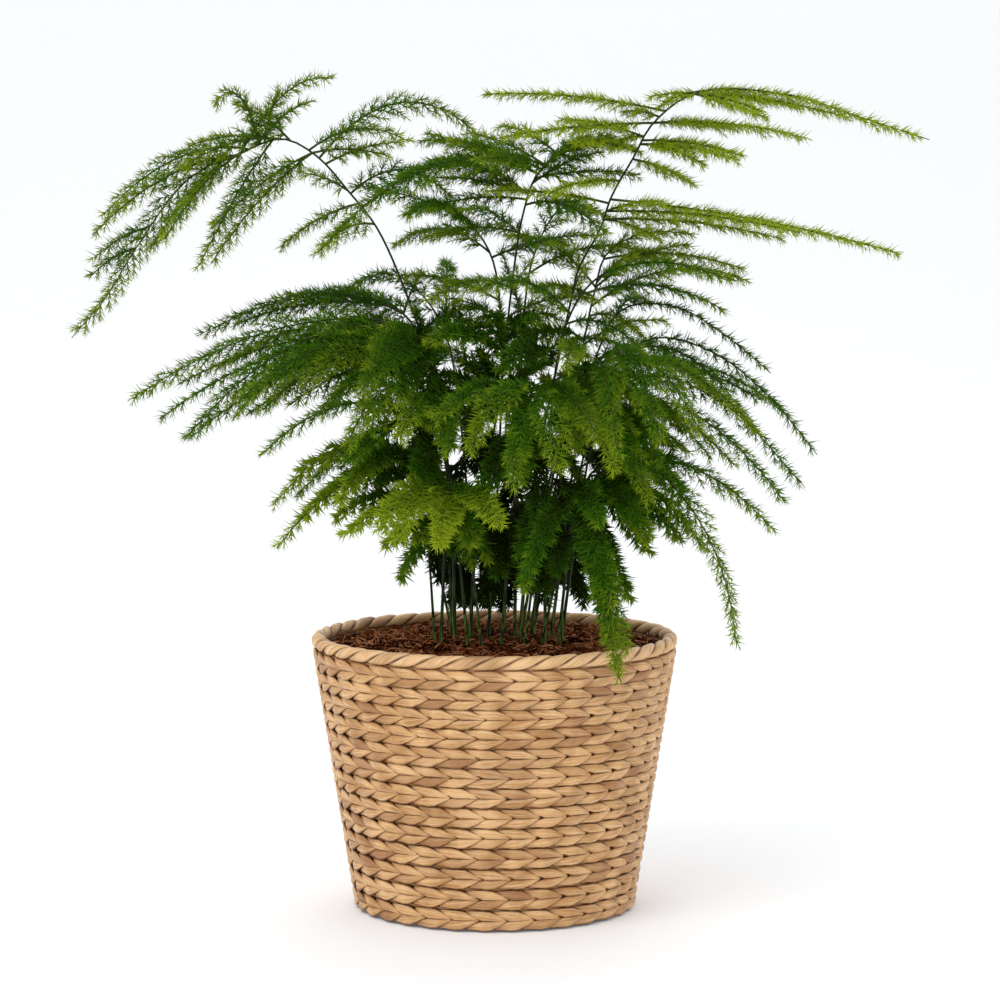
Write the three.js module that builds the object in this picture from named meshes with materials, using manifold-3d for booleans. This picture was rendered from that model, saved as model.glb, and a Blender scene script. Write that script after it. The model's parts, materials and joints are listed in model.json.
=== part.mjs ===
// Asparagus fern growing in a round basket of plaited water hyacinth.
// Millimetres, +Z up. The origin is the middle of the basket's underside.
import * as THREE from 'three';
import { mergeVertices } from 'three/addons/utils/BufferGeometryUtils.js';
import Module from 'manifold-3d';

// Driving dimensions of the basket
const GAP = 0.3;
const BASKET_HEIGHT = 165;
const RIM_RADIUS = 110;
const ROPE_THICKNESS = 11.5;
const COURSES = 13;
const STRANDS = 26;
const FOOT_RADIUS = 84;
const WALL_SLOPE = 0.16;
const WALL_THICKNESS = 8.5;
const SEAM_DEPTH = 3.2;
const CHEVRON_SHIFT = 0.6;
const BASE_THICKNESS = 8;

// Driving dimensions of what the basket holds
const POT_WALL = 1.8;
const POT_TOP = 147;
const SOIL_TOP = 147;
const MULCH_TOP = 156;
const MULCH_MOUND = 2.5;
const HOLE_DEPTH = 18;

// Driving dimensions of the fern
const STEM_RADIUS = 1.9;
const STEM_TIP_RADIUS = 0.8;
const RACHIS_RADIUS = 1.0;
const TWIG_RADIUS = 0.75;
const NODE_LENGTH = 2.4;
const NODE_SPACING = 27;
const NEEDLE_LENGTH = 6;
const LONG_TWIG = 26;
const CORE_CLEARANCE = 0.7;
const PLUME_BARE = 0.16;
const STEM_BENDS = 4;
const SEED = 7;

// Each shoot: its foot (x, y), the points that its stem passes above the soil, the share of the
// stem after which it is leafy, and its plumes as [share of the stem, tip x, y, z, lift, width].
const SHOOTS = {
  tall_left: {
    foot: [-24, 2],
    stem: [[-26, 0, 245], [-36, 0, 317], [-51, 0, 364], [-70, 5, 407], [-87, 5, 429], [-106, 5, 450],
      [-126, 4, 460], [-150, 2, 452], [-182, 0, 436], [-218, -8, 395], [-236, -16, 368], [-251, -25, 347]],
    leafy: 0.7,
    roll: 58,
    width: 22,
    plumes: [[0.655, -95, 30, 497, 6, 14], [0.675, -165, -22, 476, 14, 14], [0.69, -237, 16, 417, 26, 20],
      [0.72, -171, -42, 385, 4, 16], [0.6, -10, 42, 463, 26, 18], [0.615, -50, -24, 458, 12, 14],
      [0.56, -129, 34, 396, 8, 14], [0.545, -25, 44, 424, 16, 16], [0.5, -104, -24, 393, 6, 12]],
  },
  tall_right: {
    foot: [15, 4],
    stem: [[24, 2, 257], [38, 0, 329], [45, 0, 362], [50, 0, 383], [63, 0, 407], [69, 0, 425],
      [83, 0, 450], [93, 0, 468], [119, -6, 487], [170, -14, 486], [218, -22, 471], [254, -30, 459]],
    leafy: 0.71,
    roll: 14,
    width: 13,
    plumes: [[0.685, -7, 30, 487, 10, 12], [0.66, 190, 50, 461, 8, 14], [0.64, 144, -50, 449, 8, 16],
      [0.6, 120, 40, 434, 6, 16], [0.545, 237, -24, 393, 10, 16], [0.57, 32, -60, 428, 6, 16],
      [0.665, 3, -50, 464, 8, 14]],
  },
  centre_tall: {
    foot: [-15, 12],
    stem: [[-9, 8, 245], [3, 4, 305], [10, 2, 371], [17, 0, 416], [26, -2, 440], [48, -8, 455], [72, -14, 461]],
    leafy: 0.88,
    roll: 28,
    width: 16,
    plumes: [[0.84, -101, -50, 395, 26, 24], [0.86, 90, 56, 452, 12, 20], [0.78, 64, -46, 405, 8, 18],
      [0.8, -60, 48, 436, 14, 18]],
  },
  centre_left: {
    foot: [-4, 12],
    stem: [[2, 20, 256], [4, 26, 346], [-2, 24, 390], [-16, 20, 410], [-44, 16, 424], [-88, 16, 434]],
    leafy: 0.78,
    roll: 26,
    width: 14,
    plumes: [[0.74, -52, -62, 415, 12, 18], [0.7, -62, 70, 396, 12, 18]],
  },
  right_upper: {
    foot: [22, 22],
    stem: [[36, 24, 261], [52, 24, 330], [60, 24, 368], [68, 28, 392], [92, 34, 402], [124, 40, 400]],
    leafy: 0.78,
    roll: 22,
    width: 16,
    plumes: [[0.72, 9, 64, 402, 10, 18], [0.68, 150, 4, 376, 14, 18]],
  },
  right_middle: {
    foot: [30, -6],
    stem: [[32, -14, 280], [42, -20, 350], [60, -24, 378], [96, -44, 388], [139, -70, 378]],
    leafy: 0.72,
    roll: 26,
    width: 20,
    plumes: [[0.66, 134, -24, 360, 10, 18], [0.62, -10, -72, 372, 12, 18]],
  },
  right_arc: {
    foot: [34, 8],
    stem: [[50, 14, 280], [62, 22, 332], [78, 34, 360], [110, 46, 364], [145, 52, 346], [170, 52, 322]],
    leafy: 0.68,
    roll: 50,
    width: 14,
    plumes: [[0.6, 96, 92, 360, 10, 16]],
  },
  right_reach: {
    foot: [40, -2],
    stem: [[51, -2, 240], [60, 0, 287], [74, 0, 330], [96, -2, 346], [130, -2, 342], [165, -2, 315], [194, 0, 274]],
    leafy: 0.6,
    roll: 52,
    width: 16,
    plumes: [[0.52, 176, 34, 296, 18, 16], [0.56, 152, -38, 290, 18, 18]],
  },
  right_low: {
    foot: [38, -14],
    stem: [[50, -28, 262], [64, -34, 306], [92, -44, 322], [136, -56, 304], [180, -64, 258]],
    leafy: 0.58,
    roll: 50,
    width: 18,
    plumes: [[0.5, 166, -96, 252, 26, 18]],
  },
  right_hanging: {
    foot: [28, -18],
    stem: [[44, -44, 232], [58, -60, 268], [82, -72, 276], [114, -84, 246], [132, -90, 208], [139, -92, 169]],
    leafy: 0.5,
    roll: 45,
    width: 16,
    plumes: [[0.42, 163, -60, 232, 22, 16]],
  },
  rim_spray: {
    foot: [18, -24],
    stem: [[26, -42, 220], [38, -58, 254], [52, -84, 244], [64, -106, 200], [72, -116, 150]],
    leafy: 0.5,
    roll: 30,
    width: 12,
    plumes: [[0.5, 16, -118, 206, 12, 12]],
  },
  front_middle: {
    foot: [4, -22],
    stem: [[12, -32, 250], [24, -42, 300], [24, -66, 318], [16, -100, 300], [9, -128, 262]],
    leafy: 0.66,
    roll: 20,
    width: 20,
    plumes: [[0.6, 68, -132, 272, 20, 18], [0.56, -34, -112, 300, 16, 18]],
  },
  front_right: {
    foot: [15, -12],
    stem: [[34, -30, 266], [50, -42, 320], [70, -62, 336], [96, -88, 326], [118, -112, 292]],
    leafy: 0.66,
    roll: 25,
    width: 20,
    plumes: [[0.6, 40, -114, 330, 14, 18], [0.62, 152, -70, 290, 20, 16]],
  },
  left_reach: {
    foot: [-32, -10],
    stem: [[-29, -14, 276], [-38, -16, 332], [-64, -16, 352], [-120, -14, 350], [-175, -12, 330], [-218, -10, 305]],
    leafy: 0.58,
    roll: 46,
    width: 24,
    plumes: [[0.52, -180, -62, 285, 24, 20], [0.45, -160, 44, 290, 30, 18], [0.48, -70, -62, 340, 10, 16]],
  },
  left_high: {
    foot: [-26, 16],
    stem: [[-30, 26, 270], [-40, 38, 330], [-60, 46, 358], [-100, 50, 366], [-144, 48, 358], [-182, 44, 341]],
    leafy: 0.62,
    roll: 38,
    width: 20,
    plumes: [[0.58, -86, 90, 368, 10, 16], [0.6, -44, 70, 384, 10, 16]],
  },
  left_front: {
    foot: [-16, -20],
    stem: [[-26, -40, 256], [-38, -56, 300], [-56, -80, 318], [-72, -104, 308], [-84, -124, 284]],
    leafy: 0.62,
    roll: 30,
    width: 20,
    plumes: [[0.55, -136, -92, 274, 26, 18]],
  },
  left_low: {
    foot: [-36, 2],
    stem: [[-42, -14, 236], [-52, -24, 272], [-78, -32, 282], [-106, -38, 270], [-130, -42, 246]],
    leafy: 0.55,
    roll: 44,
    width: 18,
    plumes: [[0.48, -126, -70, 218, 20, 16], [0.46, -104, 4, 246, 16, 14]],
  },
  left_facing: {
    foot: [-8, -28],
    stem: [[-16, -44, 226], [-26, -60, 252], [-40, -88, 258], [-56, -116, 232]],
    leafy: 0.55,
    roll: 26,
    width: 18,
    plumes: [[0.46, -86, -84, 224, 18, 16]],
  },
  back_middle: {
    foot: [6, 34],
    stem: [[6, 60, 260], [10, 82, 326], [16, 112, 344], [22, 148, 316]],
    leafy: 0.66,
    roll: 20,
    width: 20,
    plumes: [[0.6, 84, 124, 330, 16, 18], [0.58, -56, 132, 322, 16, 18]],
  },
  back_left: {
    foot: [-14, 28],
    stem: [[-20, 50, 280], [-34, 68, 350], [-66, 92, 378], [-110, 112, 358]],
    leafy: 0.68,
    roll: 30,
    width: 20,
    plumes: [[0.62, -30, 128, 384, 12, 18], [0.58, -122, 74, 320, 18, 16]],
  },
  back_right: {
    foot: [24, 36],
    stem: [[40, 58, 262], [56, 76, 318], [94, 96, 334], [142, 108, 300]],
    leafy: 0.64,
    roll: 30,
    width: 20,
    plumes: [[0.56, 58, 140, 290, 18, 18], [0.54, 134, 64, 264, 18, 16]],
  },
  back_low: {
    foot: [-26, 30],
    stem: [[-42, 48, 226], [-58, 64, 262], [-90, 82, 268], [-126, 94, 238]],
    leafy: 0.6,
    roll: 30,
    width: 18,
    plumes: [[0.52, -36, 116, 250, 16, 16]],
  },
  back_high: {
    foot: [12, 22],
    stem: [[16, 46, 320], [24, 62, 390], [44, 84, 420], [76, 104, 412]],
    leafy: 0.78,
    roll: 20,
    width: 18,
    plumes: [[0.74, -24, 104, 416, 12, 16], [0.7, 110, 84, 384, 14, 16]],
  },
};

const COLOURS = {
  hyacinth: { color: 0xc09763, roughness: 0.72 },
  hyacinthRope: { color: 0xc8a06c, roughness: 0.7 },
  potPlastic: { color: 0x2b2b2b, roughness: 0.55 },
  soil: { color: 0x2d2019, roughness: 0.98 },
  mulch: { color: 0x5a3020, roughness: 0.96 },
  fern: { color: 0x3f7d1d, roughness: 0.6 },
};

function finish(look) {
  return new THREE.MeshStandardMaterial({ metalness: 0, ...COLOURS[look] });
}

function seeded(seed) {
  let state = seed;
  return () => {
    state = (state * 1664525 + 1013904223) % 4294967296;
    return state / 4294967296;
  };
}

const random = seeded(SEED);

function between(low, high) {
  return low + (high - low) * random();
}

// Turned bodies

// A row of a turned body: its radius and height, how far the row is turned on, in columns, and
// the radius that the middle of each cell above it is raised to.
function row(radius, height, turn = 0, crest = null) {
  return { radius, height, turn, crest };
}

// Turns closed rows into a body. A cell with a crest becomes a four-sided leaf raised off the wall.
function turned(rows, columns) {
  const profile = rows.map((r) => new THREE.Vector2(r.radius, r.height));
  const lathe = new THREE.LatheGeometry(profile, columns);
  lathe.rotateX(Math.PI / 2);
  const corners = lathe.getAttribute('position');
  const step = (2 * Math.PI) / columns;
  const points = [];
  for (let i = 0; i < corners.count; i += 1) {
    const corner = new THREE.Vector3().fromBufferAttribute(corners, i);
    corner.applyAxisAngle(new THREE.Vector3(0, 0, 1), rows[i % rows.length].turn * step);
    points.push(corner);
  }
  const faces = [];
  for (let column = 0; column < columns; column += 1) {
    for (let level = 0; level < rows.length - 1; level += 1) {
      const a = column * rows.length + level;
      const b = a + rows.length;
      const cell = [a, b, b + 1, a + 1];
      if (rows[level].crest === null) {
        faces.push([a, b, a + 1], [b + 1, a + 1, b]);
        continue;
      }
      const top = new THREE.Vector3();
      cell.forEach((corner) => top.addScaledVector(points[corner], 0.25));
      const reach = rows[level].crest / Math.hypot(top.x, top.y);
      points.push(new THREE.Vector3(top.x * reach, top.y * reach, top.z));
      cell.forEach((corner, k) => faces.push([corner, cell[(k + 1) % 4], points.length - 1]));
    }
  }
  return body(points, faces);
}

// Points and outward triangles as one closed geometry.
function body(points, faces) {
  const geometry = new THREE.BufferGeometry();
  geometry.setAttribute('position', new THREE.Float32BufferAttribute(points.flatMap((p) => p.toArray()), 3));
  geometry.setIndex(faces.flat());
  const merged = mergeVertices(geometry, 1e-3);
  const index = merged.getIndex().array;
  const kept = [];
  for (let i = 0; i < index.length; i += 3) {
    const [a, b, c] = [index[i], index[i + 1], index[i + 2]];
    if (a !== b && b !== c && c !== a) {
      kept.push(a, b, c);
    }
  }
  merged.setIndex(kept);
  return merged;
}

// Basket

const COURSE_PITCH = (BASKET_HEIGHT - ROPE_THICKNESS) / COURSES;

function wallRadius(height) {
  return FOOT_RADIUS + WALL_SLOPE * height;
}

function innerRadius(height) {
  return wallRadius(height) - WALL_THICKNESS;
}

function basketWall() {
  const rows = [];
  for (let half = 0; half <= 2 * COURSES; half += 1) {
    const seam = half % 2 === 0;
    const height = (half * COURSE_PITCH) / 2;
    const crest = half < 2 * COURSES ? wallRadius(height + COURSE_PITCH / 4) : null;
    const tuck = seam ? SEAM_DEPTH : SEAM_DEPTH * 0.6;
    rows.push(row(wallRadius(height) - tuck, height, seam ? 0 : CHEVRON_SHIFT, crest));
  }
  const top = COURSES * COURSE_PITCH;
  rows.push(row(innerRadius(top), top), row(innerRadius(0), 0), row(wallRadius(0) - SEAM_DEPTH, 0));
  return turned(rows, STRANDS);
}

// A fat twisted rope: the strands' ridges wind once round its section.
function basketRim() {
  const sides = 5;
  const ropeRadius = ROPE_THICKNESS / 2;
  const rows = [];
  for (let side = 0; side <= sides; side += 1) {
    const angle = (2 * Math.PI * side) / sides;
    rows.push(row(
      RIM_RADIUS - ropeRadius + ropeRadius * Math.cos(angle),
      BASKET_HEIGHT - ropeRadius + GAP / 2 + (ropeRadius - GAP / 2) * Math.sin(angle),
      (2 * side) / sides,
    ));
  }
  const rope = turned(rows, 2 * STRANDS);
  const corners = rope.getAttribute('position');
  const middle = new THREE.Vector2(RIM_RADIUS - ropeRadius, BASKET_HEIGHT - ropeRadius + GAP / 2);
  const columnAngle = Math.PI / STRANDS;
  for (let i = 0; i < corners.count; i += 1) {
    const corner = new THREE.Vector3().fromBufferAttribute(corners, i);
    const radial = Math.hypot(corner.x, corner.y);
    const aroundSection = Math.atan2(corner.z - middle.y, radial - middle.x) / (2 * Math.PI);
    const column = Math.atan2(corner.x, -corner.y) / columnAngle - 2 * aroundSection;
    const groove = Math.abs(Math.round(column)) % 2 === 1 ? 0.78 : 1;
    const pulled = middle.x + (radial - middle.x) * groove;
    corner.x *= pulled / radial;
    corner.y *= pulled / radial;
    corner.z = middle.y + (corner.z - middle.y) * groove;
    corners.setXYZ(i, corner.x, corner.y, corner.z);
  }
  return rope;
}

// The coiled base: a flat middle, then rings of plait with a groove between neighbours.
function basketBase() {
  const middle = 18;
  const rings = 2;
  const groove = 1.4;
  const edge = innerRadius(0) * Math.cos(Math.PI / STRANDS) - GAP;
  const ring = (edge - middle) / rings;
  const rows = [row(0, 0), row(middle - 2, 0)];
  for (let i = 0; i < rings; i += 1) {
    rows.push(row(middle + i * ring, groove), row(middle + (i + 0.5) * ring, 0));
  }
  rows.push(row(edge, groove), row(edge, BASE_THICKNESS - groove), row(edge - ring / 2, BASE_THICKNESS));
  rows.push(row(0, BASE_THICKNESS));
  return turned(rows, 20);
}

// What the basket holds

const POT_FLOOR = BASE_THICKNESS + GAP;

function potRadius(height) {
  return innerRadius(height) - GAP;
}

function innerPot() {
  const floorTop = POT_FLOOR + POT_WALL;
  return turned([
    row(0, POT_FLOOR),
    row(potRadius(POT_FLOOR) - 3, POT_FLOOR),
    row(potRadius(POT_FLOOR + 4), POT_FLOOR + 4),
    row(potRadius(POT_TOP), POT_TOP),
    row(potRadius(POT_TOP) - POT_WALL, POT_TOP),
    row(potRadius(POT_FLOOR + 4) - POT_WALL, POT_FLOOR + 4),
    row(potRadius(POT_FLOOR) - 3 - POT_WALL, floorTop),
    row(0, floorTop),
  ], STRANDS);
}

// A closed body as a solid that can be cut.
const wasm = await Module();
wasm.setup();

function solid(geometry) {
  return new wasm.Manifold(new wasm.Mesh({
    numProp: 3,
    vertProperties: new Float32Array(geometry.getAttribute('position').array),
    triVerts: new Uint32Array(geometry.getIndex().array),
  }));
}

function cut(block, holes) {
  const rest = holes.reduce((left, hole) => left.subtract(solid(hole)), solid(block));
  const mesh = rest.getMesh();
  const geometry = new THREE.BufferGeometry();
  geometry.setAttribute('position', new THREE.BufferAttribute(mesh.vertProperties, 3));
  geometry.setIndex(new THREE.BufferAttribute(mesh.triVerts, 1));
  return geometry;
}

// The plain holes that the stems stand in.
function stemHoles(low, high) {
  const hole = STEM_RADIUS + GAP + 0.4;
  return Object.values(SHOOTS).map(({ foot }) => turned([
    row(0, low),
    row(hole, low),
    row(hole, high),
    row(0, high),
  ], 5).translate(foot[0], foot[1], 0));
}

function soil() {
  const low = POT_FLOOR + POT_WALL + GAP;
  const block = turned([
    row(0, low),
    row(potRadius(POT_FLOOR) - 3 - POT_WALL - GAP, low),
    row(potRadius(POT_FLOOR + 4) - POT_WALL - GAP, POT_FLOOR + 4 + GAP),
    row(potRadius(SOIL_TOP) - POT_WALL - GAP, SOIL_TOP),
    row(0, SOIL_TOP),
  ], STRANDS);
  return cut(block, stemHoles(SOIL_TOP - HOLE_DEPTH, SOIL_TOP + 5));
}

// Shredded bark over the soil and the pot's edge, mounded a little and lumpy.
function mulch() {
  const low = POT_TOP + GAP;
  const edge = innerRadius(low) * Math.cos(Math.PI / STRANDS) - GAP;
  const rings = [1, 0.82, 0.62, 0.42];
  const block = turned([
    row(0, low),
    row(edge, low),
    ...rings.map((share, i) => row(edge * share, MULCH_TOP, i / 2)),
    row(0, MULCH_TOP),
  ], 20);
  const corners = block.getAttribute('position');
  for (let i = 0; i < corners.count; i += 1) {
    const [x, y, z] = [corners.getX(i), corners.getY(i), corners.getZ(i)];
    if (z > low + 1) {
      const lumps = Math.sin(x * 0.21 + y * 0.13) + Math.sin(y * 0.27 - x * 0.09);
      corners.setZ(i, z + MULCH_MOUND * (1 - Math.hypot(x, y) / edge) + 0.7 * lumps);
    }
  }
  return cut(block, stemHoles(low - 5, MULCH_TOP + 20));
}

// Fern

// The lines that the shoots' stems, twigs and needles run along, kept in cells, so that
// whatever would touch another line can be turned, shortened or left out.
class Thicket {
  constructor(cell = 14) {
    this.cell = cell;
    this.cells = new Map();
  }

  keys(line, margin) {
    const low = line.start.clone().min(line.end).subScalar(margin).divideScalar(this.cell).floor();
    const high = line.start.clone().max(line.end).addScalar(margin).divideScalar(this.cell).floor();
    const keys = [];
    for (let x = low.x; x <= high.x; x += 1) {
      for (let y = low.y; y <= high.y; y += 1) {
        for (let z = low.z; z <= high.z; z += 1) {
          keys.push(`${x},${y},${z}`);
        }
      }
    }
    return keys;
  }

  add(start, end, radius, shoot) {
    const line = new THREE.Line3(start.clone(), end.clone());
    line.radius = radius;
    line.shoot = shoot;
    this.keys(line, radius).forEach((key) => {
      this.cells.set(key, [...(this.cells.get(key) ?? []), line]);
    });
  }

  // True where the line clears every other: all of it from other shoots, its outer part from its own.
  clears(start, end, radius, shoot, ownShare) {
    const whole = new THREE.Line3(start, end);
    const outer = new THREE.Line3(start.clone().lerp(end, ownShare), end);
    return this.keys(whole, 4).every((key) => (this.cells.get(key) ?? []).every((other) => {
      const tested = other.shoot === shoot ? outer : whole;
      return lineDistance(tested, other) > radius + other.radius + CORE_CLEARANCE;
    }));
  }
}

// The least distance between two straight lines, by halving steps along the first.
function lineDistance(first, second) {
  const point = new THREE.Vector3();
  const nearest = new THREE.Vector3();
  const distanceAt = (share) => {
    first.at(share, point);
    second.closestPointToPoint(point, true, nearest);
    return point.distanceTo(nearest);
  };
  let [low, high] = [0, 1];
  for (let i = 0; i < 24; i += 1) {
    const third = (high - low) / 3;
    if (distanceAt(low + third) < distanceAt(high - third)) {
      high -= third;
    } else {
      low += third;
    }
  }
  return distanceAt((low + high) / 2);
}

// A shoot's skin grows face by face, so it is one closed body at every stage: a stem is a run of
// three-cornered rings, a twig grows out of a triangle of its parent, and a needle is a triangle
// drawn out to a point.
class Skin {
  constructor() {
    this.points = [];
    this.faces = [];
  }

  ring(centre, tangent, up, radius) {
    const side = new THREE.Vector3().crossVectors(up, tangent);
    return [90, 210, 330].map((degrees) => {
      const angle = THREE.MathUtils.degToRad(degrees);
      const corner = centre.clone();
      corner.addScaledVector(side, radius * Math.cos(angle)).addScaledVector(up, radius * Math.sin(angle));
      this.points.push(corner);
      return this.points.length - 1;
    });
  }

  face(corners) {
    this.faces.push(corners);
    return this.faces.length - 1;
  }

  // The six triangles between two rings.
  wall(from, to) {
    return [0, 1, 2].flatMap((k) => {
      const next = (k + 1) % 3;
      return [this.face([from[k], from[next], to[next]]), this.face([from[k], to[next], to[k]])];
    });
  }

  centre(face) {
    const sum = new THREE.Vector3();
    this.faces[face].forEach((corner) => sum.add(this.points[corner]));
    return sum.divideScalar(3);
  }

  outward(face) {
    const [a, b, c] = this.faces[face].map((corner) => this.points[corner]);
    return new THREE.Vector3().crossVectors(b.clone().sub(a), c.clone().sub(a)).normalize();
  }

  // The unused triangle of a wall that looks most nearly the given way.
  facing(wall, direction) {
    const free = wall.filter((face) => this.faces[face] !== null);
    return free.reduce((best, face) => (
      this.outward(face).dot(direction) > this.outward(best).dot(direction) ? face : best
    ), free[0]);
  }

  // Draws a triangle out to a point.
  drawOut(face, tip) {
    const corners = this.faces[face];
    this.faces[face] = null;
    this.points.push(tip);
    corners.forEach((corner, k) => this.face([corner, corners[(k + 1) % 3], this.points.length - 1]));
  }

  // The up direction that turns a ring's corners to those of the triangle that it grows from.
  upOver(face, tangent) {
    const up = squareUp(Math.abs(tangent.z) > 0.9 ? STEM_UP : SKY, tangent);
    const side = new THREE.Vector3().crossVectors(up, tangent);
    const centre = this.centre(face);
    const turn = new THREE.Vector2();
    this.faces[face].forEach((corner, k) => {
      const spoke = this.points[corner].clone().sub(centre);
      const angle = Math.atan2(spoke.dot(up), spoke.dot(side)) - (Math.PI * (3 + 4 * k)) / 6;
      turn.add(new THREE.Vector2(Math.cos(angle), Math.sin(angle)));
    });
    return up.applyAxisAngle(tangent, turn.angle());
  }

  // Opens a triangle and turns its corners to lie nearest those of the ring that grows from it.
  open(face, ring) {
    const corners = this.faces[face];
    this.faces[face] = null;
    const strayed = (turn) => ring.reduce((sum, corner, k) => (
      sum + this.points[corner].distanceTo(this.points[corners[(k + turn) % 3]])
    ), 0);
    const best = [0, 1, 2].reduce((least, turn) => (strayed(turn) < strayed(least) ? turn : least), 0);
    return [0, 1, 2].map((k) => corners[(k + best) % 3]);
  }

  geometry() {
    return body(this.points, this.faces.filter((face) => face !== null));
  }
}

const SKY = new THREE.Vector3(0, 0, 1);
const STEM_UP = new THREE.Vector3(0, -1, 0);

// Up direction square to the tangent, carried on from the last one so that it never flips.
function squareUp(last, tangent) {
  return last.clone().addScaledVector(tangent, -last.dot(tangent)).normalize();
}

// The rings of a branch: a short stretch at each node, and plain rings where the line bends.
function ringPlan(length, nodes, bends = []) {
  const half = NODE_LENGTH / 2 / length;
  const rings = nodes.flatMap((share) => [{ share: share - half }, { share: share + half, node: share }]);
  const room = 4 * half;
  const plain = bends.filter((bend) => nodes.every((share) => Math.abs(share - bend) > room));
  return [...rings, ...plain.map((share) => ({ share }))].sort((a, b) => a.share - b.share);
}

// Grows rings along a curve from a ring or an opened triangle, and returns the node stretches.
function growBranch(skin, curve, first, rings, radiusAt, startUp) {
  let up = startUp;
  let last = first;
  const stretches = [];
  rings.forEach(({ share, node }) => {
    const tangent = curve.getTangentAt(share);
    up = squareUp(up, tangent);
    const ring = skin.ring(curve.getPointAt(share), tangent, up, radiusAt(share));
    const wall = skin.wall(typeof last === 'number' ? skin.open(last, ring) : last, ring);
    if (node !== undefined) {
      stretches.push({ wall, tangent, share: node });
    }
    last = ring;
  });
  skin.drawOut(skin.face(last), curve.getPointAt(1));
  return stretches;
}

function noteCore(thicket, curve, radius, shoot, steps) {
  const points = curve.getSpacedPoints(steps);
  for (let i = 0; i < steps; i += 1) {
    thicket.add(points[i], points[i + 1], radius, shoot);
  }
}

// An arching line from a start to a tip, risen by lift at its middle.
function arch(start, tip, lift) {
  const control = start.clone().add(tip).multiplyScalar(0.5);
  control.z += 2 * lift;
  return new THREE.QuadraticBezierCurve3(start, control, tip);
}

function nodesAlong(length, from) {
  const count = Math.max(2, Math.round((length * (1 - from)) / NODE_SPACING));
  return Array.from({ length: count }, (_, i) => from + ((1 - from) * (i + 0.4)) / (count + 0.2));
}

// How long a side twig is at a share of its plume: short at the root, longest a third along.
function twigLength(width, share) {
  return 7 + width * Math.min(1, 0.5 + 1.6 * share) * (1 - share) ** 0.6;
}

// The way across a plume at a node: level, or rolled so that the side towards -Y hangs lower.
function acrossPlume(tangent, roll) {
  const level = new THREE.Vector3().crossVectors(SKY, tangent).normalize();
  const above = new THREE.Vector3().crossVectors(tangent, level);
  const angle = THREE.MathUtils.degToRad(roll) * Math.sign(level.y);
  return level.multiplyScalar(Math.cos(angle)).addScaledVector(above, Math.sin(angle));
}

// The first of a few ways for a side twig that clears everything already grown.
function clearTwig(thicket, start, forward, sideways, length, shoot) {
  const ways = [[1, 0], [1, 0.35], [1, -0.35], [0.7, 0], [0.7, 0.5], [0.7, -0.5], [0.45, 0]];
  return ways.map(([shorter, tilt]) => {
    const heading = forward.clone().multiplyScalar(0.72).addScaledVector(sideways, 0.72);
    heading.addScaledVector(SKY, tilt - 0.12).normalize();
    const tip = start.clone().addScaledVector(heading, length * shorter);
    const control = start.clone().lerp(tip, 0.5).addScaledVector(SKY, length * shorter * 0.06);
    return new THREE.QuadraticBezierCurve3(start, control, tip);
  }).find((curve) => thicket.clears(start, curve.v2, TWIG_RADIUS + 0.3, shoot, 0.4));
}

// Side twigs leave the nodes to the left and right in turn.
function growTwigs(thicket, { skin, name, plan, stretches, width, shareOf }) {
  return stretches.flatMap((stretch, i) => {
    const sideways = acrossPlume(stretch.tangent, plan.roll).multiplyScalar(i % 2 === 0 ? 1 : -1);
    const face = skin.facing(stretch.wall, sideways);
    const length = twigLength(width, shareOf(stretch.share)) * between(0.85, 1.1);
    const curve = clearTwig(thicket, skin.centre(face), stretch.tangent, sideways, length, name);
    if (!curve) {
      return [];
    }
    noteCore(thicket, curve, TWIG_RADIUS, name, 1);
    const reach = curve.getLength();
    const nodes = reach > LONG_TWIG ? [0.4, 0.78] : [0.6];
    const up = skin.upOver(face, curve.getTangentAt(0));
    return growBranch(skin, curve, face, ringPlan(reach, nodes), () => TWIG_RADIUS, up);
  });
}

// Two needles are drawn out of each node face that carries no twig, the hind one standing up
// more than the fore one, wherever they would touch nothing.
function growNeedles(thicket, skin, shoot, stretches) {
  stretches.forEach(({ wall, tangent }) => [0, 2, 4].forEach((side) => {
    const pair = [wall[side], wall[side + 1]];
    if (pair.some((face) => skin.faces[face] === null)) {
      return;
    }
    pair.forEach((face, k) => {
      const start = skin.centre(face);
      const heading = skin.outward(face).addScaledVector(tangent, k === 0 ? 0.35 : 1.2).normalize();
      const tip = start.clone().addScaledVector(heading, NEEDLE_LENGTH * between(0.8, 1.3));
      if (thicket.clears(start, tip, 0.35, shoot, 0.6)) {
        thicket.add(start.clone().lerp(tip, 0.3), tip, 0.35, shoot);
        skin.drawOut(face, tip);
      }
    });
  }));
}

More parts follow.
